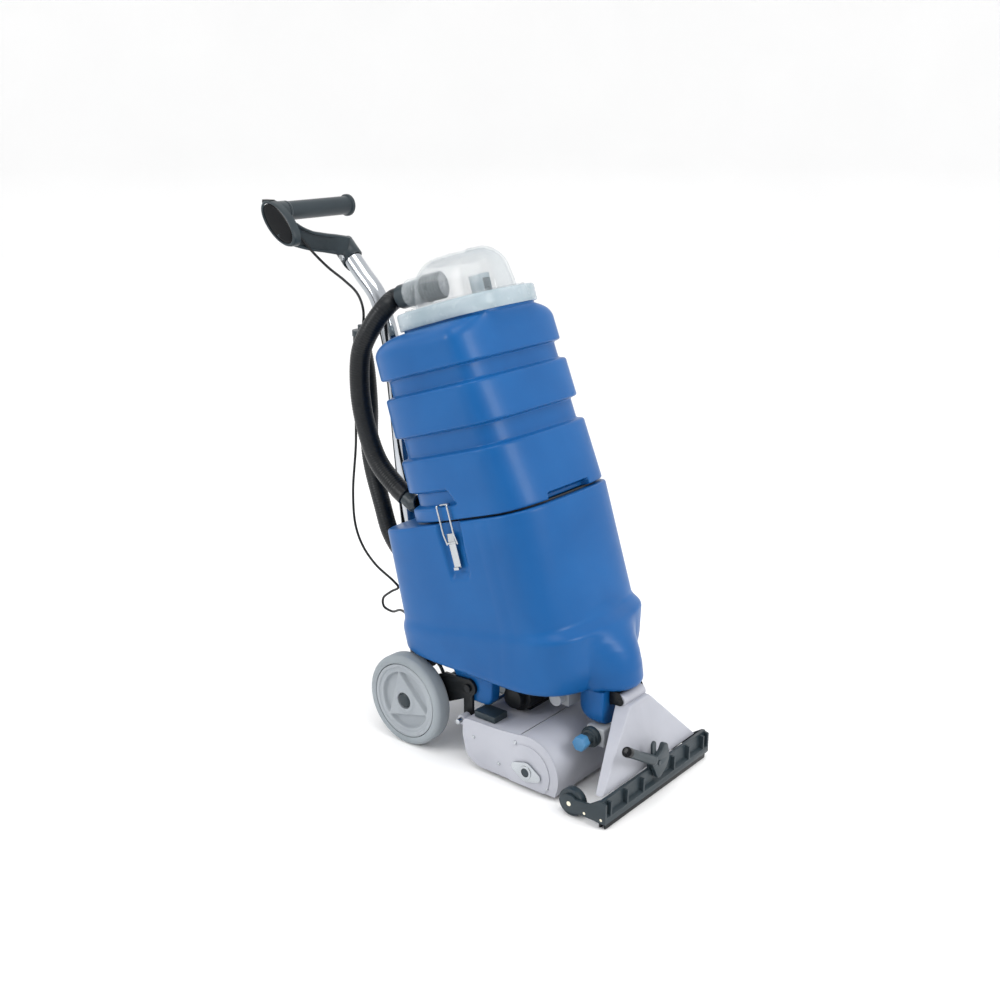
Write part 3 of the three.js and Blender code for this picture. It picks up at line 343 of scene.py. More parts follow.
def plate(mesh, outlines, low, high, edge=1.0, plane="xz"):
    """Flat outlines (the first is the edge, the others are holes) given a thickness and soft edges."""
    curve = bpy.data.curves.new("plate", "CURVE")
    curve.dimensions = "2D"
    curve.fill_mode = "BOTH"
    for outline in outlines:
        spline = curve.splines.new("POLY")
        spline.points.add(len(outline) - 1)
        for point, (a, b) in zip(spline.points, outline):
            point.co = (a, b, 0, 1)
        spline.use_cyclic_u = True
    curve.extrude = (high - low) / 2 - edge
    curve.bevel_depth = edge
    curve.bevel_resolution = 2
    curve.offset = -edge
    holder = bpy.data.objects.new("plate", curve)
    bpy.context.collection.objects.link(holder)
    flat = bpy.data.meshes.new_from_object(holder.evaluated_get(bpy.context.evaluated_depsgraph_get()))
    bpy.data.objects.remove(holder)
    middle = (low + high) / 2
    if plane == "xz":
        flat.transform(Matrix.Translation((0, middle, 0)) @ Matrix.Rotation(math.pi / 2, 4, "X"))
    else:
        turn = Matrix(((0, 0, 1, middle), (1, 0, 0, 0), (0, 1, 0, 0), (0, 0, 0, 1)))
        flat.transform(turn)
    mesh.from_mesh(flat)
    bpy.data.meshes.remove(flat)


def arc(x, z, radius, start, stop, steps=16):
    return [(x + radius * math.cos(start + (stop - start) * i / steps),
             z + radius * math.sin(start + (stop - start) * i / steps)) for i in range(steps + 1)]


def circle(x, z, radius, steps=32):
    return arc(x, z, radius, 0, 2 * math.pi, steps)[:-1]


def step(low, high, value):
    t = min(max((value - low) / (high - low), 0), 1)
    return t * t * (3 - 2 * t)


def within(low, high, soft, value):
    return step(low, low + soft, value) * (1 - step(high - soft, high, value))


def refined(node, edge=0.7, body=None, crease=38, look_name=None):
    """A CAD piece carried over as a new mesh: flat areas merged, every hard edge rounded."""
    source = frame["nodes"][node]
    mesh = bmesh.new()
    mesh.from_mesh(source.data)
    mesh.transform(source.matrix_world)
    bmesh.ops.remove_doubles(mesh, verts=mesh.verts, dist=2e-6)
    bmesh.ops.dissolve_limit(mesh, angle_limit=math.radians(2), verts=mesh.verts, edges=mesh.edges)
    hard = [e for e in mesh.edges if e.is_manifold and e.calc_face_angle(0) > math.radians(32)]
    bmesh.ops.bevel(mesh, geom=hard, offset=edge / 1000, segments=2, profile=0.6, affect="EDGES", clamp_overlap=True)
    mesh.transform(MACHINE.inverted())
    slot = source.data.materials[0].name.split(".")[0]
    return piece(node + "_body", mesh, look_name or slot, source.parent.name.split(":")[-1], [node], crease=crease)


def subtract(mesh, cutter):
    """The bmesh with another one cut out of it."""
    holders = []
    for one in (mesh, cutter):
        bmesh.ops.recalc_face_normals(one, faces=one.faces)
        data = bpy.data.meshes.new("cut")
        one.to_mesh(data)
        one.free()
        holders.append(bpy.data.objects.new("cut", data))
        bpy.context.collection.objects.link(holders[-1])
    modifier = holders[0].modifiers.new("cut", "BOOLEAN")
    modifier.operation = "DIFFERENCE"
    modifier.object = holders[1]
    shaped = bpy.data.meshes.new_from_object(holders[0].evaluated_get(bpy.context.evaluated_depsgraph_get()))
    for holder in holders:
        bpy.data.objects.remove(holder)
    out = bmesh.new()
    out.from_mesh(shaped)
    bpy.data.meshes.remove(shaped)
    return out


# ---------- cords ----------
CABLE = [
    (-595.7, -91.3, 943), (-586.8, -80.8, 931), (-577.5, -70.5, 914), (-568, -60, 897), (-548, -46, 873),
    (-514, -38, 851), (-480, -38, 829), (-462, -42, 800), (-464, -46, 750),
    (-472, -48, 690), (-488, -44, 620), (-499, -38, 530), (-516, -34, 425), (-512, -34, 358), (-493, -34, 318),
    (-458, -34, 286), (-412, -32, 262), (-402, -28, 250), (-428, -22, 232), (-456, -18, 208), (-456, -16, 190),
    (-436, -14, 184), (-400, -26, 200), (-360, -44, 206), (-329, -48, 204),
]
cable_path = even(smooth_path(CABLE, 12), 4)
mesh = bmesh.new()
tube(mesh, cable_path, 2.5, 16)
cable = piece("switch_cable_lead", mesh, "black_rubber", "frame", ["switch_cable"])


def path_length(path):
    return sum((b - a).length for a, b in zip(path, path[1:]))


port_axis = Vector((-0.868, 0, 0.497))
port_mouth = tank(-228, -82, 24) + port_axis * 22
RECOVERY_HOSE = [
    tank(-176.3, -33, 402), tank(-196, -33, 402), (-387, -58, 816), (-408, -76, 778), (-430, -82, 733),
    (-437, -82, 657), (-423, -82, 585), (-392, -82, 522), port_mouth + port_axis * 24, port_mouth + port_axis * 0.3,
]
hose_path = even(smooth_path(RECOVERY_HOSE, 16), 1.25)


def ribbed(radius, pitch=5.0, depth=0.55, cuff=26.0, cuff_radius=None):
    """Hose radius: shallow ribs, with a plain cuff at each end."""
    def at(distance, total):
        edge = min(distance, total - distance)
        wave = radius - depth * (0.5 + 0.5 * math.cos(2 * math.pi * distance / pitch))
        blend = step(cuff - 1.5, cuff + 1.5, edge)
        return (cuff_radius or radius) * (1 - blend) + wave * blend
    return at


mesh = bmesh.new()
tube(mesh, hose_path, ribbed(19, cuff=24, cuff_radius=19), 32, round_end=1.5)
recovery_hose = piece("recovery_hose_tube", mesh, "black_rubber", None, ["recovery_hose"], crease=70)
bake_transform(recovery_hose)

drain_axis = Vector((-0.973, 0, -0.232))
drain_root = Vector((-338.2, -40, 345))
drain_mouth = drain_root + drain_axis * 26
DRAIN_HOSE = [
    drain_mouth + drain_axis * 0.3, drain_mouth + drain_axis * 14, (-407, -40, 366), (-437, -33, 424), (-466, -24, 480),
    (-478, -20, 520), (-478, -20, 560), (-475, -21, 603), (-479, -22, 680), (-489, -21, 726), (-489, -21, 745),
]
drain_path = even(smooth_path(DRAIN_HOSE, 16), 1.25)
mesh = bmesh.new()
tube(mesh, drain_path, ribbed(17.5, cuff=22), 32, round_end=1.5)
drain_hose = piece("drain_hose_tube", mesh, "black_rubber", "frame", ["drain_hose"], crease=70)
refined("drain_plug")

# ---------- tank plans ----------
RECOVERY_TAPER = 0.12
NECK = dict(front=108, rear=108, half=103, sharp_front=3, sharp_rear=3.4, centre=-54)
COLLAR = dict(NECK, front=114, rear=114, half=109)
SOLUTION = dict(front=88, rear=292, half=147, sharp_front=3, sharp_rear=6)
BASE = dict(front=132, rear=266, half=146, sharp_front=2.6, sharp_rear=6, centre=-40)
AROUND = 400


def recovery_plan(w):
    return dict(front=80 - RECOVERY_TAPER * w, rear=225, half=146)


def plan_curve(front, rear, half, sharp_front=3.0, sharp_rear=4.0, centre=0.0, inset=0.0):
    angle = np.linspace(-math.pi, math.pi, 6001)[:-1]
    c, s = np.cos(angle), np.sin(angle)
    reach = np.where(c > 0, front, rear) - inset
    sharp = np.where(c > 0, sharp_front, sharp_rear)
    return centre + reach * np.sign(c) * np.abs(c) ** (2 / sharp), (half - inset) * np.sign(s) * np.abs(s) ** (2 / sharp)


def bearings(plan, middle):
    """Directions from the middle that space points evenly round the plan."""
    u, v = plan_curve(**plan)
    order = np.argsort(np.arctan2(v, u - middle))
    u, v = u[order], v[order]
    run = np.concatenate([[0], np.cumsum(np.hypot(np.diff(u), np.diff(v)))])
    wanted = np.linspace(0, run[-1], AROUND, endpoint=False)
    return np.arctan2(np.interp(wanted, run, v), np.interp(wanted, run, u) - middle)


def ring(plan, inset, directions, middle):
    """(u, v) of the plan in each direction, drawn in by the inset."""
    u, v = plan_curve(**plan, inset=inset)
    heading = np.arctan2(v, u - middle)
    order = np.argsort(heading)
    heading, reach = heading[order], np.hypot(u - middle, v)[order]
    found = np.interp(directions, heading, reach, period=2 * math.pi)
    return middle + found * np.cos(directions), found * np.sin(directions)


# ---------- upper tank ----------
TANK_MIDDLE = -66
tank_directions = bearings(dict(front=65, rear=225, half=146), TANK_MIDDLE)


def level(plan, inset, w):
    u, v = ring(plan, inset, tank_directions, TANK_MIDDLE)
    return [Vector((a, b, w)) for a, b in zip(u, v)]


def upper_tank():
    profile = softened(
        [(70, -6), (0, -6), (0, 108.5), (12, 112), (12, 149), (0, 152), (0, 223.5), (12, 227), (12, 256), (0, 259), (0, 300)],
        [0, 4, 4.5, 3, 3, 4, 4.5, 3, 3, 4, 0], arc=5, rows=[1, 34, 1, 8, 1, 18, 1, 7, 1, 8, 1])
    rings = [level(recovery_plan(p.y), p.x, p.y) for p in (Vector((q[0], q[1])) for q in profile)]
    for i in range(1, 15):
        turn = math.pi / 2 * i / 14
        shape = level(recovery_plan(300), 0, 0)
        throat = level(NECK, 0, 0)
        share, w = 1 - math.cos(turn) ** 0.92, 300 + 33 * math.sin(turn)
        rings.append([a.lerp(b, share) + Vector((0, 0, w)) for a, b in zip(shape, throat)])
    rings += [level(NECK, 0, 336), level(NECK, 0, 341.5), level(NECK, 0.6, 342.6), level(NECK, 1.6, 343),
              level(NECK, 5, 343), level(NECK, 6, 342), level(NECK, 6, 332), level(recovery_plan(300), 18, 296),
              level(recovery_plan(30), 16, 20), level(recovery_plan(0), 40, 6)]
    for one in rings:
        w = one[0].z
        deep = level(recovery_plan(w), 11.6, w) if 10 < w < 60 else None
        for p, low in zip(one, deep or one):
            if deep:
                edge = -56 - 18 * (w - 19) / 29
                notch = within(18, 50, 4.5, w) * (1 - step(edge - 7, edge, p.x))
                p.x += (low.x - p.x) * notch
                p.y += (low.y - p.y) * notch
            if p.x < -213.5 and w < 75:
                pocket = within(-110, -54, 6, p.y) * (1 - step(62, 70, w))
                p.x += (-213.5 - p.x) * pocket
            if p.x > 40 and w < 9:
                finger = step(-62, -50, p.y) * (1 - step(54, 60, p.y)) * (1 - step(3, 6, w))
                p.x -= 16 * finger
    mesh = bmesh.new()
    skin(mesh, rings)
    return piece("upper_tank_shell", mesh, "tank_blue", "frame", ["upper_tank"], TANK, crease=60)


upper_tank()

# ---------- lower tank ----------
CREASE_HEIGHT, CREASE_SLOPE = 299, 0.187
BASE_Z = 182
SOLUTION_MIDDLE, BASE_MIDDLE = -102, -107
base_directions = bearings(dict(SOLUTION, rear=306), SOLUTION_MIDDLE)


def tank_ring(plan, inset, w):
    u, v = ring(plan, inset, base_directions, SOLUTION_MIDDLE)
    return [tank(a, b, w) for a, b in zip(u, v)]


def crease_ring(plan, inset, drop):
    u, v = ring(plan, inset, base_directions, SOLUTION_MIDDLE)
    out = []
    for a, b in zip(u, v):
        target = CREASE_HEIGHT - drop + CREASE_SLOPE * (-77.8 + a * math.cos(LEAN))
        w = (target - 505.4 - a * math.sin(LEAN)) / (math.cos(LEAN) + CREASE_SLOPE * math.sin(LEAN))
        out.append(tank(a, b, w))
    return out


def base_ring(inset, z):
    u, v = ring(BASE, inset, base_directions, BASE_MIDDLE)
    return [Vector((a, b, z)) for a, b in zip(u, v)]


LEG_MIDDLE = -20


LEG_COURSE = [(120, 101), (175, 99.5), (200, 97), (225, 94), (245, 88), (262, 79), (278, 66), (292, 49), (305, 28),
              (330, -20)]


def leg_centre(z):
    return float(np.interp(z, *zip(*LEG_COURSE)))


def with_leg(p):
    """Pushes a wall point out over the front leg, with a soft valley where the two meet."""
    away = Vector((p.x - LEG_MIDDLE, p.y))
    reach = away.length
    if p.x < 20 or p.z > 330:
        return
    centre = leg_centre(p.z) - LEG_MIDDLE
    under = min(max((p.z - BASE_Z) / 14, 0), 1)
    radius = 57 - 14 * (1 - math.sqrt(1 - (1 - under) ** 2))
    cosine, sine = away.x / reach, away.y / reach
    inside = radius ** 2 - (centre * sine) ** 2
    if inside > 0:
        leg = centre * cosine + math.sqrt(inside)
        soft = 38
        gap = max(soft - abs(reach - leg), 0) / soft
        new = max(reach, leg) + gap * gap * soft / 4
    else:
        new = reach
    p.x, p.y = LEG_MIDDLE + cosine * new, sine * new
    p.z += 6.3 * step(104, 118, p.x) * (1 - step(BASE_Z, 240, p.z))


def lower_tank():
    creased = dict(SOLUTION, rear=306)
    bulged = dict(creased, front=107, half=151.5, rear=313)
    foot, brow = base_ring(0, BASE_Z), crease_ring(bulged, 0, 17)
    belly = [a.lerp(b, 0.42) + Vector((10 * step(20, 70, a.x), 0, 0)) for a, b in zip(foot, brow)]
    keys = [base_ring(70, BASE_Z), foot, belly, brow, crease_ring(creased, 0, 0),
            tank_ring(SOLUTION, 0, -10), tank_ring(SOLUTION, 34, -10)]
    columns = [softened(column, [0, 15, 20, 7, 6, 6, 0], arc=6, rows=[3, 8, 16, 2, 58, 2, 1]) for column in zip(*keys)]
    outer = [list(r) for r in zip(*columns)]
    for one in outer:
        for p in one:
            with_leg(p)
            local = TANK_IN_MACHINE.inverted() @ p
            if abs(p.y) > 130 and local.z > -125:
                narrow = (local.z + 112) / 100
                trough = within(-118 - 5 * narrow, -66 + 5 * narrow, 9, local.x) * step(-118, -100, local.z)
                side = 1 if p.y > 0 else -1
                depth = 137 + 3 * (1 - min(max(narrow, 0), 1))
                if abs(p.y) > depth:
                    p.y += (side * depth - p.y) * trough
    mouth = dict(front=56, rear=176, half=118)
    inner = [tank_ring(mouth, 0, -10), tank_ring(mouth, 0, -26), tank_ring(SOLUTION, 17, -32),
             crease_ring(creased, 18, 0), base_ring(18, BASE_Z + 18), base_ring(60, BASE_Z + 9)]
    mesh = bmesh.new()
    skin(mesh, outer + inner)
    # rear lobe of the leg, flat in front where the shoe hangs
    lobe = []
    for k in range(13):
        z = 121.5 + 66 * (k / 12) ** 1.4
        radius = 57 - 20 * (1 - math.sqrt(1 - (1 - min((z - 121.5) / 22, 1)) ** 2))
        one = []
        for i in range(96):
            angle = 2 * math.pi * i / 96
            x = leg_centre(z) + radius * math.cos(angle)
            flat = 117.4
            gap = max(5 - abs(x - flat), 0) / 5
            one.append(Vector((min(x, flat) - gap * gap * 1.25, radius * math.sin(angle), z)))
        lobe.append(one)
    skin(mesh, lobe)
    for side in (-1, 1):
        outline = softened([(-210, 200), (-174, 146), (-158, 115), (-92, 115), (-90, 200)], [0, 20, 16, 18, 0], arc=6, closed=True)
        low, high = (84, 110) if side > 0 else (-110, -84)
        plate(mesh, [[(p.x, p.y) for p in map(lambda q: Vector((q[0], q[1])), outline)]], low, high, 4)
    return piece("lower_tank_shell", mesh, "tank_blue", "frame", ["lower_tank"], crease=55)


lower_tank()

# ---------- lid ----------
mesh = bmesh.new()
skin(mesh, [level(COLLAR, 1, 337), level(COLLAR, 0, 338), level(COLLAR, 0, 350), level(COLLAR, 0, 363), level(COLLAR, 0.8, 366),
            level(COLLAR, 2.6, 367.6), level(COLLAR, 5, 368), level(NECK, 13, 368), level(NECK, 14, 367), level(NECK, 14, 344.5),
            level(NECK, 13, 343.4), level(COLLAR, 6, 343.4), level(COLLAR, 5.2, 342), level(COLLAR, 5.2, 337.6),
            level(COLLAR, 4.6, 337)], wrap=True)
piece("lid_collar_ring", mesh, "milky_collar", "lid", ["lid_collar"], TANK, crease=50)

DOME_CORNERS = [(47, -40, 20), (47, 40, 20), (-128, 64, 15), (-128, -64, 15)]


def dome_ring(w, front, rear, side):
    points = []
    for k, (u, v, radius) in enumerate(DOME_CORNERS):
        inset = front if u > 0 else rear
        cu = u - math.copysign(radius + inset, u + 40)
        cv = v - math.copysign(radius + side, v)
        for i in range(11):
            angle = math.radians(-90 + 90 * k + i * 9)
            points.append(Vector((cu + radius * math.cos(angle), cv + radius * math.sin(angle), w)))
    filled = []
    for k, p in enumerate(points):
        nxt = points[(k + 1) % len(points)]
        count = max(1, round((nxt - p).length / 8)) if (k % 11) == 10 else 1
        filled += [p.lerp(nxt, i / count) for i in range(count)]
    return filled


def dome_shell(offset):
    """Rings of the clear cover, from its foot to the crown, drawn in by an offset."""
    stations = softened([(0, 368.5), (1, 382), (7, 424), (30, 449 - offset), (60, 450.5 - offset)], [0, 6, 18, 14, 0], arc=7, rows=[3, 8, 3, 4, 1])
    out = []
    for s in stations:
        inset, w = s[0], s[1]
        count_front = inset * 0.9
        rear = inset * 1.15
        out.append((w, count_front + offset, rear + offset, min(inset, 60) * 0.62 + offset))
    return out


def dome():
    outer = dome_shell(0)
    inner = dome_shell(3)
    foot = 11
    lengths = None
    rings = []
    for w, front, rear, side in outer:
        one = dome_ring(w, front, rear, side)
        lengths = lengths or len(one)
        rings.append(resample(one, 240))
    inside = [resample(dome_ring(w, f, r, s), 240) for w, f, r, s in inner]
    mesh = bmesh.new()
    rows_out = [[mesh.verts.new(p) for p in one] for one in rings]
    rows_in = [[mesh.verts.new(p) for p in one] for one in inside]
    for rows in (rows_out, rows_in):
        for low, high in zip(rows, rows[1:]):
            for i in range(240):
                j = (i + 1) % 240
                mesh.faces.new((low[i], low[j], high[j], high[i]))
        mesh.faces.new(rows[-1])
    for i in range(240):
        j = (i + 1) % 240
        mesh.faces.new((rows_out[0][j], rows_out[0][i], rows_in[0][i], rows_in[0][j]))
    shell = piece("dome_blank", mesh, "clear_cover", None, matrix=TANK, crease=60)
    cutter_mesh = bmesh.new()
    rod(cutter_mesh, (-170, -33, 402), (-90, -33, 402), 23.5, 0.2, 48)
    cutter = piece("dome_cutter", cutter_mesh, "clear_cover", None, matrix=TANK)
    modifier = shell.modifiers.new("bore", "BOOLEAN")
    modifier.operation = "DIFFERENCE"
    modifier.object = cutter
    bored = bpy.data.meshes.new_from_object(shell.evaluated_get(bpy.context.evaluated_depsgraph_get()))
    mesh = bmesh.new()
    mesh.from_mesh(bored)
    mesh.transform(TANK.inverted())
    bpy.data.objects.remove(shell)
    bpy.data.objects.remove(cutter)
    # foot flange and the ring that the hose cuff pushes into
    skin(mesh, [level(NECK, 8.6, 368.4), level(NECK, 8, 369), level(NECK, 8, 370.8), level(NECK, 8.6, 371.4),
                level(NECK, 18, 371.4), level(NECK, 18, 368.4)], wrap=True)
    turned(mesh, [(23.6, -150), (26.2, -150), (27, -149.2), (27, -112), (26.2, -111.2), (23.6, -111.2)])
    return piece("lid_dome_cover", mesh, "clear_cover", "lid", ["lid_dome"], TANK, crease=50)


def resample(loop, count):
    closed = loop + [loop[0]]
    return even(closed, path_length(closed) / count)[:count]


def turned(mesh, profile, v=-33, w=402, steps=56):
    """Revolves (radius, u) points about the inlet's axis, in the tank frame."""
    rings = [[Vector((u, v + r * math.cos(2 * math.pi * i / steps), w + r * math.sin(2 * math.pi * i / steps)))
              for i in range(steps)] for r, u in profile]
    skin(mesh, rings, wrap=True)


dome()

# hose cuff pushed through the cover, its open end facing forward inside
mesh = bmesh.new()
cuff = even(smooth_path([(-176, -33, 402), (-150, -33, 402), (-128, -33, 402), (-106, -29, 403), (-80, -20, 403)], 10), 1.2)
tube(mesh, cuff, lambda s, total: 22.5 + 2.8 * step(58, 66, s) - 0.6 * (0.5 + 0.5 * math.cos(s * 1.1)) * step(66, 70, s), 48,
     round_end=1.6)
elbow = piece("inlet_cuff", mesh, "dark_plastic", "lid", ["inlet_elbow"], TANK)
mesh = bmesh.new()
end_axis = (cuff[-1] - cuff[-3]).normalized()
side = end_axis.orthogonal().normalized()
up = end_axis.cross(side)
for k in range(5):
    radius = 4 + 4.2 * k
    circle_path = [cuff[-1] + end_axis * 0.7 + side * (radius * math.cos(t)) + up * (radius * math.sin(t))
                   for t in (2 * math.pi * i / 40 for i in range(41))]
    tube(mesh, circle_path, 0.75, 8)
for k in range(6):
    turn = math.pi * k / 6
    arm = side * math.cos(turn) + up * math.sin(turn)
    tube(mesh, [cuff[-1] + end_axis * 0.7 + arm * (21.5 * t) for t in (-1, -0.5, 0, 0.5, 1)], 0.8, 8)
piece("inlet_grille", mesh, "grey_plastic", "lid", matrix=TANK)

# ---------- handle ----------
TUBE = [(-545, 0, 903), (-504, 0, 862), (-466, 0, 824), (-446, 0, 778), (-432, 0, 733), (-420, 0, 640),
        (-410, 0, 533), (-394, 0, 380), (-377, 0, 220), (-364, 0, 112)]
mesh = bmesh.new()
tube(mesh, even(smooth_path(TUBE, 12), 5), 17.5, 48, round_end=1)
piece("handle_tube_bent", mesh, "chrome_tube", "frame", ["handle_tube"])

# centre, half thickness, half height, depth of the side recess
ARM = [((-536, -6, 909), 13, 20, 0.0), ((-548, -18, 914), 12, 18, 0.0), ((-564, -36, 918), 11, 17.5, 1.0),
       ((-580, -58, 923), 11, 18, 1.0), ((-592, -77, 931), 11, 20, 0.9), ((-600, -91, 939), 11, 22, 0.2),
       ((-605, -100, 946), 10, 21, 0.0), ((-608, -107, 951), 9, 18, 0.0)]


def arm_rings():
    centres = smooth_path([a[0] for a in ARM], 8)
    rings = []
    for k, (centre, _, _) in enumerate(along(centres)):
        place = min(k / 8, len(ARM) - 1.001)
        i, t = int(place), place - int(place)
        thick, tall, recess = (ARM[i][j] + (ARM[i + 1][j] - ARM[i][j]) * t for j in (1, 2, 3))
        ahead = (centres[min(k + 1, len(centres) - 1)] - centres[max(k - 1, 0)]).normalized()
        across = Vector((0, 0, 1)).cross(ahead).normalized()
        upward = ahead.cross(across).normalized()
        web = thick * (1 - 0.62 * recess)
        lip = tall - 4.2
        section = [(thick, tall), (thick, lip), (web, lip - 1.5), (web, 1.5 - lip), (thick, -lip), (thick, -tall),
                   (-thick, -tall), (-thick, -lip), (-web, 1.5 - lip), (-web, lip - 1.5), (-thick, lip), (-thick, tall)]
        outline = softened([(a, b, 0) for a, b in section], 1.3, arc=3, closed=True)
        rings.append([centre + across * q[0] + upward * q[1] for q in outline])
    return rings


SLEEVE_AXIS = Vector((-1, 0, 1)).normalized()
TUBE_TOP = Vector((-545, 0, 903))


def sleeve(mesh):
    """Socket round the tube's end; its lower rim runs down to a point behind."""
    side = Vector((0, 1, 0))
    back = Vector((-1, 0, -1)).normalized()
    rings = []
    for s, radius in ((-21.6, 18), (-22, 19), (-22, 20.8), (-21, 21.5), (-8, 21.5), (4, 21.5), (15.5, 21.5), (17.4, 20.6), (18, 19)):
        one = []
        for i in range(64):
            angle = 2 * math.pi * i / 64
            out = back * math.cos(angle) + side * math.sin(angle)
            drop = 15 * max(math.cos(angle), 0) ** 7 if s < -15 else 0
            one.append(TUBE_TOP + SLEEVE_AXIS * (s - drop) + out * radius)
        rings.append(one)
    top = [TUBE_TOP + SLEEVE_AXIS * 17.6 + (back * math.cos(2 * math.pi * i / 64) + side * math.sin(2 * math.pi * i / 64)) * 15
           for i in range(64)]
    inner_top = [TUBE_TOP + SLEEVE_AXIS * 1.5 + (back * math.cos(2 * math.pi * i / 64) + side * math.sin(2 * math.pi * i / 64)) * 17.8
                 for i in range(64)]
    skin(mesh, [inner_top] + rings + [top])


def oval_rings(stations, x, z, half_x, half_z, tilt, steps=80):
    turn = math.radians(tilt)
    rings = []
    for scale, y in stations:
        one = []
        for i in range(steps):
            a, b = half_x * scale * math.cos(2 * math.pi * i / steps), half_z * scale * math.sin(2 * math.pi * i / steps)
            one.append(Vector((x + a * math.cos(turn) - b * math.sin(turn), y, z + a * math.sin(turn) + b * math.cos(turn))))
        rings.append(one)
    return rings


HEAD = dict(x=-606, z=958, half_x=55, half_z=27, tilt=-40)
mesh = bmesh.new()
skin(mesh, oval_rings([(0.94, -100), (1, -101.5), (1, -113.5), (0.985, -117), (0.955, -118.7), (0.92, -119), (0.885, -118.2),
                       (0.87, -116.6), (0.865, -114)], **HEAD))
pocket = bmesh.new()
block(pocket, (-651, -117, 989), (-625, -102, 1013), 0.6, 1)
mesh = subtract(mesh, pocket)
skin(mesh, arm_rings())
sleeve(mesh)
lathe(mesh, [(0, -101.6), (19.5, -101.6), (19.5, -81.5), (18.8, -80.4), (0, -80.3)], -628, 977)
rod(mesh, (-611, -99, 949), (-597.3, -92.2, 943.7), 4.5, 0.8, 24)
piece("handle_arm_body", mesh, "dark_plastic", "frame", ["handle_arm"], crease=42)
mesh = bmesh.new()
skin(mesh, oval_rings([(0.3, -113.6), (0.3, -116.1), (0.82, -116.15), (0.855, -116.25), (0.858, -116.5), (0.84, -116.9), (0.7, -117.2), (0.4, -117.4),
                       (0.1, -117.4)], **HEAD))
piece("arm_end_inlay", mesh, "gloss_black", "frame", crease=60)

mesh = bmesh.new()
grip = softened([(0, -80), (19.5, -80), (19.5, -75.5), (18, -73.5), (18, 80), (21.5, 81.8), (21.5, 88), (19.3, 90), (0, 90)],
                [0, 1, 1.2, 1, 1.2, 1.2, 1.4, 0.8, 0], arc=3, rows=[1, 1, 1, 24, 1, 1, 1, 1, 1])
lathe(mesh, [(p[0], p[1]) for p in grip], -628, 977, 72)
piece("grip_sleeve", mesh, "dark_plastic", "frame", ["grip"])

# ---------- wheels ----------
WHEEL_X, WHEEL_Z = -270, 90
POCKETS = [math.radians(a) for a in (-75, 45, 165)]


def wheel(name, side):
    inner, outer = 121, 158
    tyre = softened([(74, 123), (84, 121), (90, 126), (90, 152), (84, 158), (74, 157)], [2, 4, 4, 4, 5, 2], arc=5, closed=True)
    mesh = bmesh.new()
    profile = [(p[0], p[1] * side) for p in tyre]
    lathe(mesh, profile, WHEEL_X, WHEEL_Z, 128, closed=True)
    piece(f"tyre_{name}_ring", mesh, "tyre_grey", f"wheel_{name}", [f"tyre_{name}"], crease=50)
    face = softened([(72.7, outer - 2.2), (67, outer - 1.2), (64.5, outer - 4), (27, outer - 3.2), (22, outer - 1.2), (16.6, outer - 1.2),
                     (16, outer - 6.4), (7.4, outer - 6.4)], [1, 1, 1, 3, 1, 0.6, 0.4, 0], arc=3, rows=[1, 1, 30, 1, 1, 1, 1, 1])
    profile = [(7.4, inner + 1.2), (30, inner + 1.2), (34, inner + 5), (62, inner + 5), (66, inner + 1.2), (72.7, inner + 1.2)]
    profile += [(p[0], p[1]) for p in face]
    steps = 216
    rings = []
    for r, y in profile:
        one = []
        for i in range(steps):
            angle = 2 * math.pi * i / steps
            depth = 0.0
            if y > 140 and 26 < r < 62:
                for centre in POCKETS:
                    ahead = r * math.cos(angle - centre)
                    depth = max(depth, 8.5 * step(28, 33, ahead) * (1 - step(53, 58, r)))
            one.append(Vector((WHEEL_X + r * math.cos(angle), side * (y - depth), WHEEL_Z + r * math.sin(angle))))
        rings.append(one)
    mesh = bmesh.new()
    skin(mesh, rings, wrap=True)
    piece(f"hub_{name}_disc", mesh, "wheel_grey", f"wheel_{name}", [f"hub_{name}"], crease=50)


wheel("right", -1)
wheel("left", 1)

# ---------- vacuum shoe ----------
def shoe_section(z, inset=0.0, cut=3.0):
    t = (z - 50) / 122
    front = 187 - 28 * t - inset
    back = 187 - 28 * t - (15 + 17 * t) + inset
    half = 150 - 124 * t - inset
    return [Vector((p[0], p[1], z)) for p in softened([(back, -half, 0), (front, -half, 0), (front, half, 0), (back, half, 0)],
                                                      cut, arc=4, rows=6, closed=True)]


mesh = bmesh.new()
heights = [50 + 116 * k / 24 for k in range(25)]
rings = [shoe_section(148, 4, 1), shoe_section(50.6, 4, 1), shoe_section(50, 3.6, 1.2), shoe_section(50, 0.8, 2.8)]
rings += [shoe_section(max(z, 50.8)) for z in heights] + [shoe_section(167.4, 0.8), shoe_section(168, 2.2)]
skin(mesh, rings)
knuckle = softened([(0, -32.5), (12, -32.5), (12, 32.5), (0, 32.5)], [0, 1.5, 1.5, 0], arc=3)
lathe(mesh, [(p[0], p[1]) for p in knuckle], 139, 171, 64)
piece("vac_shoe_slab", mesh, "grey_housing", "shoe", ["vac_shoe"], crease=40)

mesh = bmesh.new()
rod(mesh, (139, -36.6, 171), (139, 36.6, 171), 5)
for side in (-1, 1):
    low, high = sorted((side * 33, side * 35.6))
    ear = [(119, 187.4), (119, 165), (126, 162.5), (139, 163)] + arc(139, 171, 8, -math.pi / 2, math.pi / 4, 12) + [(139, 187.4)]
    plate(mesh, [ear], low, high, 0.5)
block(mesh, (119, -35, 160), (122, 35, 187.4), 0.6, 2)
piece("shoe_hanger", mesh, "black_steel", "frame", ["shoe_bracket"])

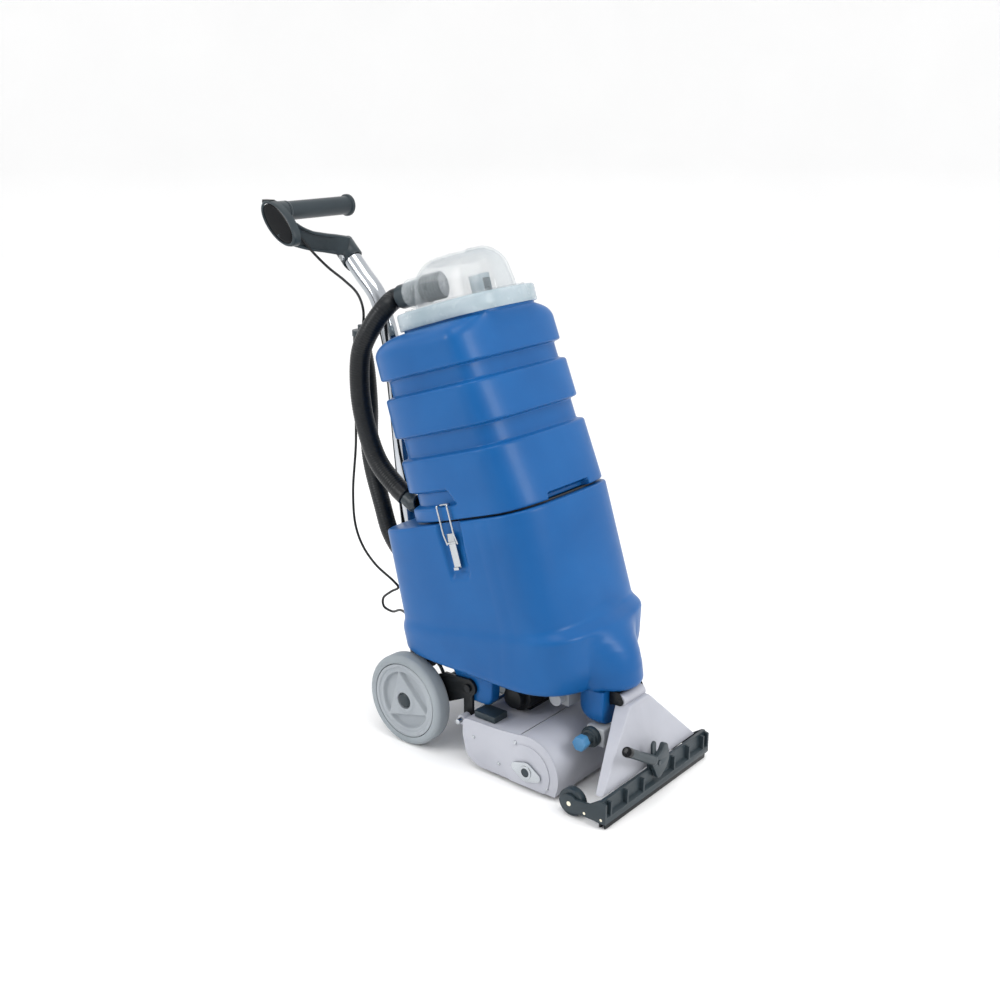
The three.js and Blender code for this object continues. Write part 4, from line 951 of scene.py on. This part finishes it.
# ---------- clamp lever and squeegee pins ----------
PIVOT_Y, PIVOT_Z = -7, 64
LEVER = [(-13, -11), (-3, -30), (7, -31), (25, -17), (33, -3), (31, 12), (25, 29), (14, 33), (6, 21), (-4, 15), (-22, 21), (-25, 8)]
SPUR = [(-14, 6), (-3, 8), (-3, 40), (-9, 45), (-16, 40)]
mesh = bmesh.new()
for outline, low, high in ((LEVER, 201, 210), (SPUR, 199.4, 204)):
    rounded = softened([(y, z, 0) for y, z in outline], 4.5, arc=5, closed=True)
    holes = [[(PIVOT_Y + y, PIVOT_Z + z) for y, z in circle(0, 0, 4.9, 28)]] if outline is LEVER else []
    plate(mesh, [[(PIVOT_Y + q[0], PIVOT_Z + q[1]) for q in rounded]] + holes, low, high, 1.2, "yz")
arm_root, arm_tip = Vector((205.6, PIVOT_Y - 10, PIVOT_Z + 7)), Vector((205.6, PIVOT_Y - 100, PIVOT_Z + 62))
tube(mesh, [arm_root.lerp(arm_tip, t / 24) for t in range(25)], lambda s, total: 9.4 - 0.8 * step(8, 60, s), 40, round_end=3)
piece("clamp_lever_cam", mesh, "dark_plastic", "clamp", ["clamp_lever"])
mesh = bmesh.new()
cap = (arm_tip - arm_root).normalized()
tube(mesh, [arm_tip + cap * d for d in (-11, -10, -7, -4, -2, -1, 0, 0.6, 1)], 9.3, 40, round_end=1.6)
piece("clamp_lever_cap", mesh, "gloss_black", "clamp")
mesh = bmesh.new()
for side in (-1, 1):
    for x, z, radius in ((130, 25.5, 4.4), (163, 19, 2.6), (198, 19, 2.6)):
        dot = [(0, 165.5), (radius, 165.5), (radius, 168.1), (radius * 0.8, 168.5), (0, 168.6)]
        lathe(mesh, [(r, side * y) for r, y in dot], x, z, 24)
piece("squeegee_pins", mesh, "cream_plastic", "shoe")

# ---------- solution valve ----------
VALVE_X, VALVE_Z = 102, 103
mesh = bmesh.new()
block(mesh, (88, -61.5, 86), (127, -28, 121.2), 3, 4)
piece("valve_block_casting", mesh, "grey_plastic", "frame", ["valve_block"])
mesh = bmesh.new()
barrel = softened([(0, -61.8), (19.5, -61.8), (19.5, -69), (16.5, -71.5), (16.5, -75), (12, -76), (12, -86), (0, -86)],
                  [0, 0.8, 1.2, 0.8, 0.8, 0.6, 0.8, 0], arc=3)
lathe(mesh, [(q[0], q[1]) for q in barrel], VALVE_X, VALVE_Z, 64)
piece("valve_barrel_turned", mesh, "dark_plastic", "frame", ["valve_barrel"])
mesh = bmesh.new()
hexagon = softened([(VALVE_X + 14.5 * math.cos(math.pi * k / 3), VALVE_Z + 14.5 * math.sin(math.pi * k / 3), 0)
                    for k in range(6)], 2.5, arc=4, closed=True)
plate(mesh, [[(q[0], q[1]) for q in hexagon]], -104, -86.3, 1.6)
piece("valve_cap_hexagon", mesh, "cap_blue", "valve_knob", ["valve_cap"])
mesh = bmesh.new()
rod(mesh, (134, -58, 92), (134, 58, 92), 5)
rod(mesh, (112, -46, 98), (134, -46, 92), 4.5)
for y in (-40, 0, 40):
    rod(mesh, (134, y, 92), (134, y, 79), 3.6, 0.6, 20)
piece("spray_bar_pipe", mesh, "black_steel", "frame", ["spray_bar"])

# ---------- latches ----------
for name, side in (("right", -1), ("left", 1)):
    y = side * 146
    leg = [(0, y, -49), (0, side * 150, -30), (0, side * 150, 23), (0, side * 141, 23)]
    wire = [(-104.5 + a, b, c) for a, b, c in leg] + [(-79.5 + a, b, c) for a, b, c in reversed(leg)]
    mesh = bmesh.new()
    tube(mesh, softened(wire, 3, arc=5), 1.8, 14)
    piece(f"latch_bail_{name}_wire", mesh, "plain_steel", f"bail_{name}", [f"latch_bail_{name}"], TANK)

# ---------- end plate screws ----------
for name, side in (("right", -1), ("left", 1)):
    mesh = bmesh.new()
    for x, z in ((-104, 66), (-44, 32), (66, 20), (-6, 88)):
        head = [(0, 146), (3.6, 146), (3.6, 146.8), (2.8, 148), (1.2, 148.5), (0, 148.6)]
        lathe(mesh, [(r, side * y) for r, y in head], x, z, 20)
    piece(f"plate_screws_{name}", mesh, "plain_steel", "deck")

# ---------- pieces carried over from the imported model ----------
REPLACED = {"drain_plug", "clamp_lever", "shoe_bracket", "valve_block", "valve_barrel", "valve_cap", "spray_bar", "switch_cable", "recovery_hose", "drain_hose", "upper_tank", "lower_tank", "lid_collar", "lid_dome",
            "inlet_elbow", "handle_tube", "handle_arm", "grip", "tyre_right", "tyre_left", "hub_right", "hub_left",
            "vac_shoe", "latch_bail_right", "latch_bail_left"}
for name in sorted(frame["nodes"]):
    if name not in REPLACED:
        refined(name)

# ---------- stage ----------
mesh = bmesh.new()
STAGE_PROFILE = [(0.001, 0), (1.5, 0), (6, 0), (7, 0.12), (7.8, 0.6), (8.4, 2.4)]
skin(mesh, [[Vector((r * math.cos(2 * math.pi * i / 96), r * math.sin(2 * math.pi * i / 96), z)) for i in range(96)]
            for r, z in STAGE_PROFILE], ends=False)
data = bpy.data.meshes.new("floor")
for face in mesh.faces:
    face.smooth = True
mesh.to_mesh(data)
mesh.free()
floor = bpy.data.objects.new("floor", data)
floor.data.materials.append(look("floor", (250, 250, 250), (252, 252, 252), 0.7, grain_height=0.0, mottle=1.5))
bpy.context.collection.objects.link(floor)

# even white studio with one dark flag on the diagonal, which draws a darker strip down the tanks' corner
world = bpy.data.worlds.new("studio")
world.use_nodes = True
nodes, links = world.node_tree.nodes, world.node_tree.links
heading = nodes.new("ShaderNodeTexCoord")
flag = nodes.new("ShaderNodeVectorMath")
flag.operation = "DOT_PRODUCT"
flag.inputs[1].default_value = (0.66, -0.75, 0.05)
shade = nodes.new("ShaderNodeMapRange")
shade.interpolation_type = "SMOOTHSTEP"
shade.inputs["From Min"].default_value = 0.72
shade.inputs["From Max"].default_value = 0.97
shade.inputs["To Min"].default_value = 1.1
shade.inputs["To Max"].default_value = 0.4
links.new(heading.outputs["Generated"], flag.inputs[0])
links.new(flag.outputs["Value"], shade.inputs["Value"])
links.new(shade.outputs["Result"], nodes["Background"].inputs["Strength"])
nodes["Background"].inputs["Color"].default_value = (1, 1, 1, 1)
bpy.context.scene.world = world
bpy.context.scene.view_settings.view_transform = "Standard"


def softbox(name, place, target, size, power):
    light = bpy.data.lights.new(name, "AREA")
    light.shape = "RECTANGLE"
    light.size, light.size_y = size
    light.energy = power
    obj = bpy.data.objects.new(name, light)
    obj.location = place
    obj.rotation_euler = (Vector(target) - Vector(place)).to_track_quat("-Z", "Y").to_euler()
    bpy.context.collection.objects.link(obj)


softbox("side", (-1.3, -2.3, 1.7), (0.1, 0, 0.5), (0.9, 1.1), 22)
softbox("front", (2.7, 0.5, 1.9), (0.1, 0, 0.5), (0.9, 1.3), 30)
softbox("top", (0.4, -0.5, 3.0), (0.1, 0, 0.4), (1.6, 1.2), 18)
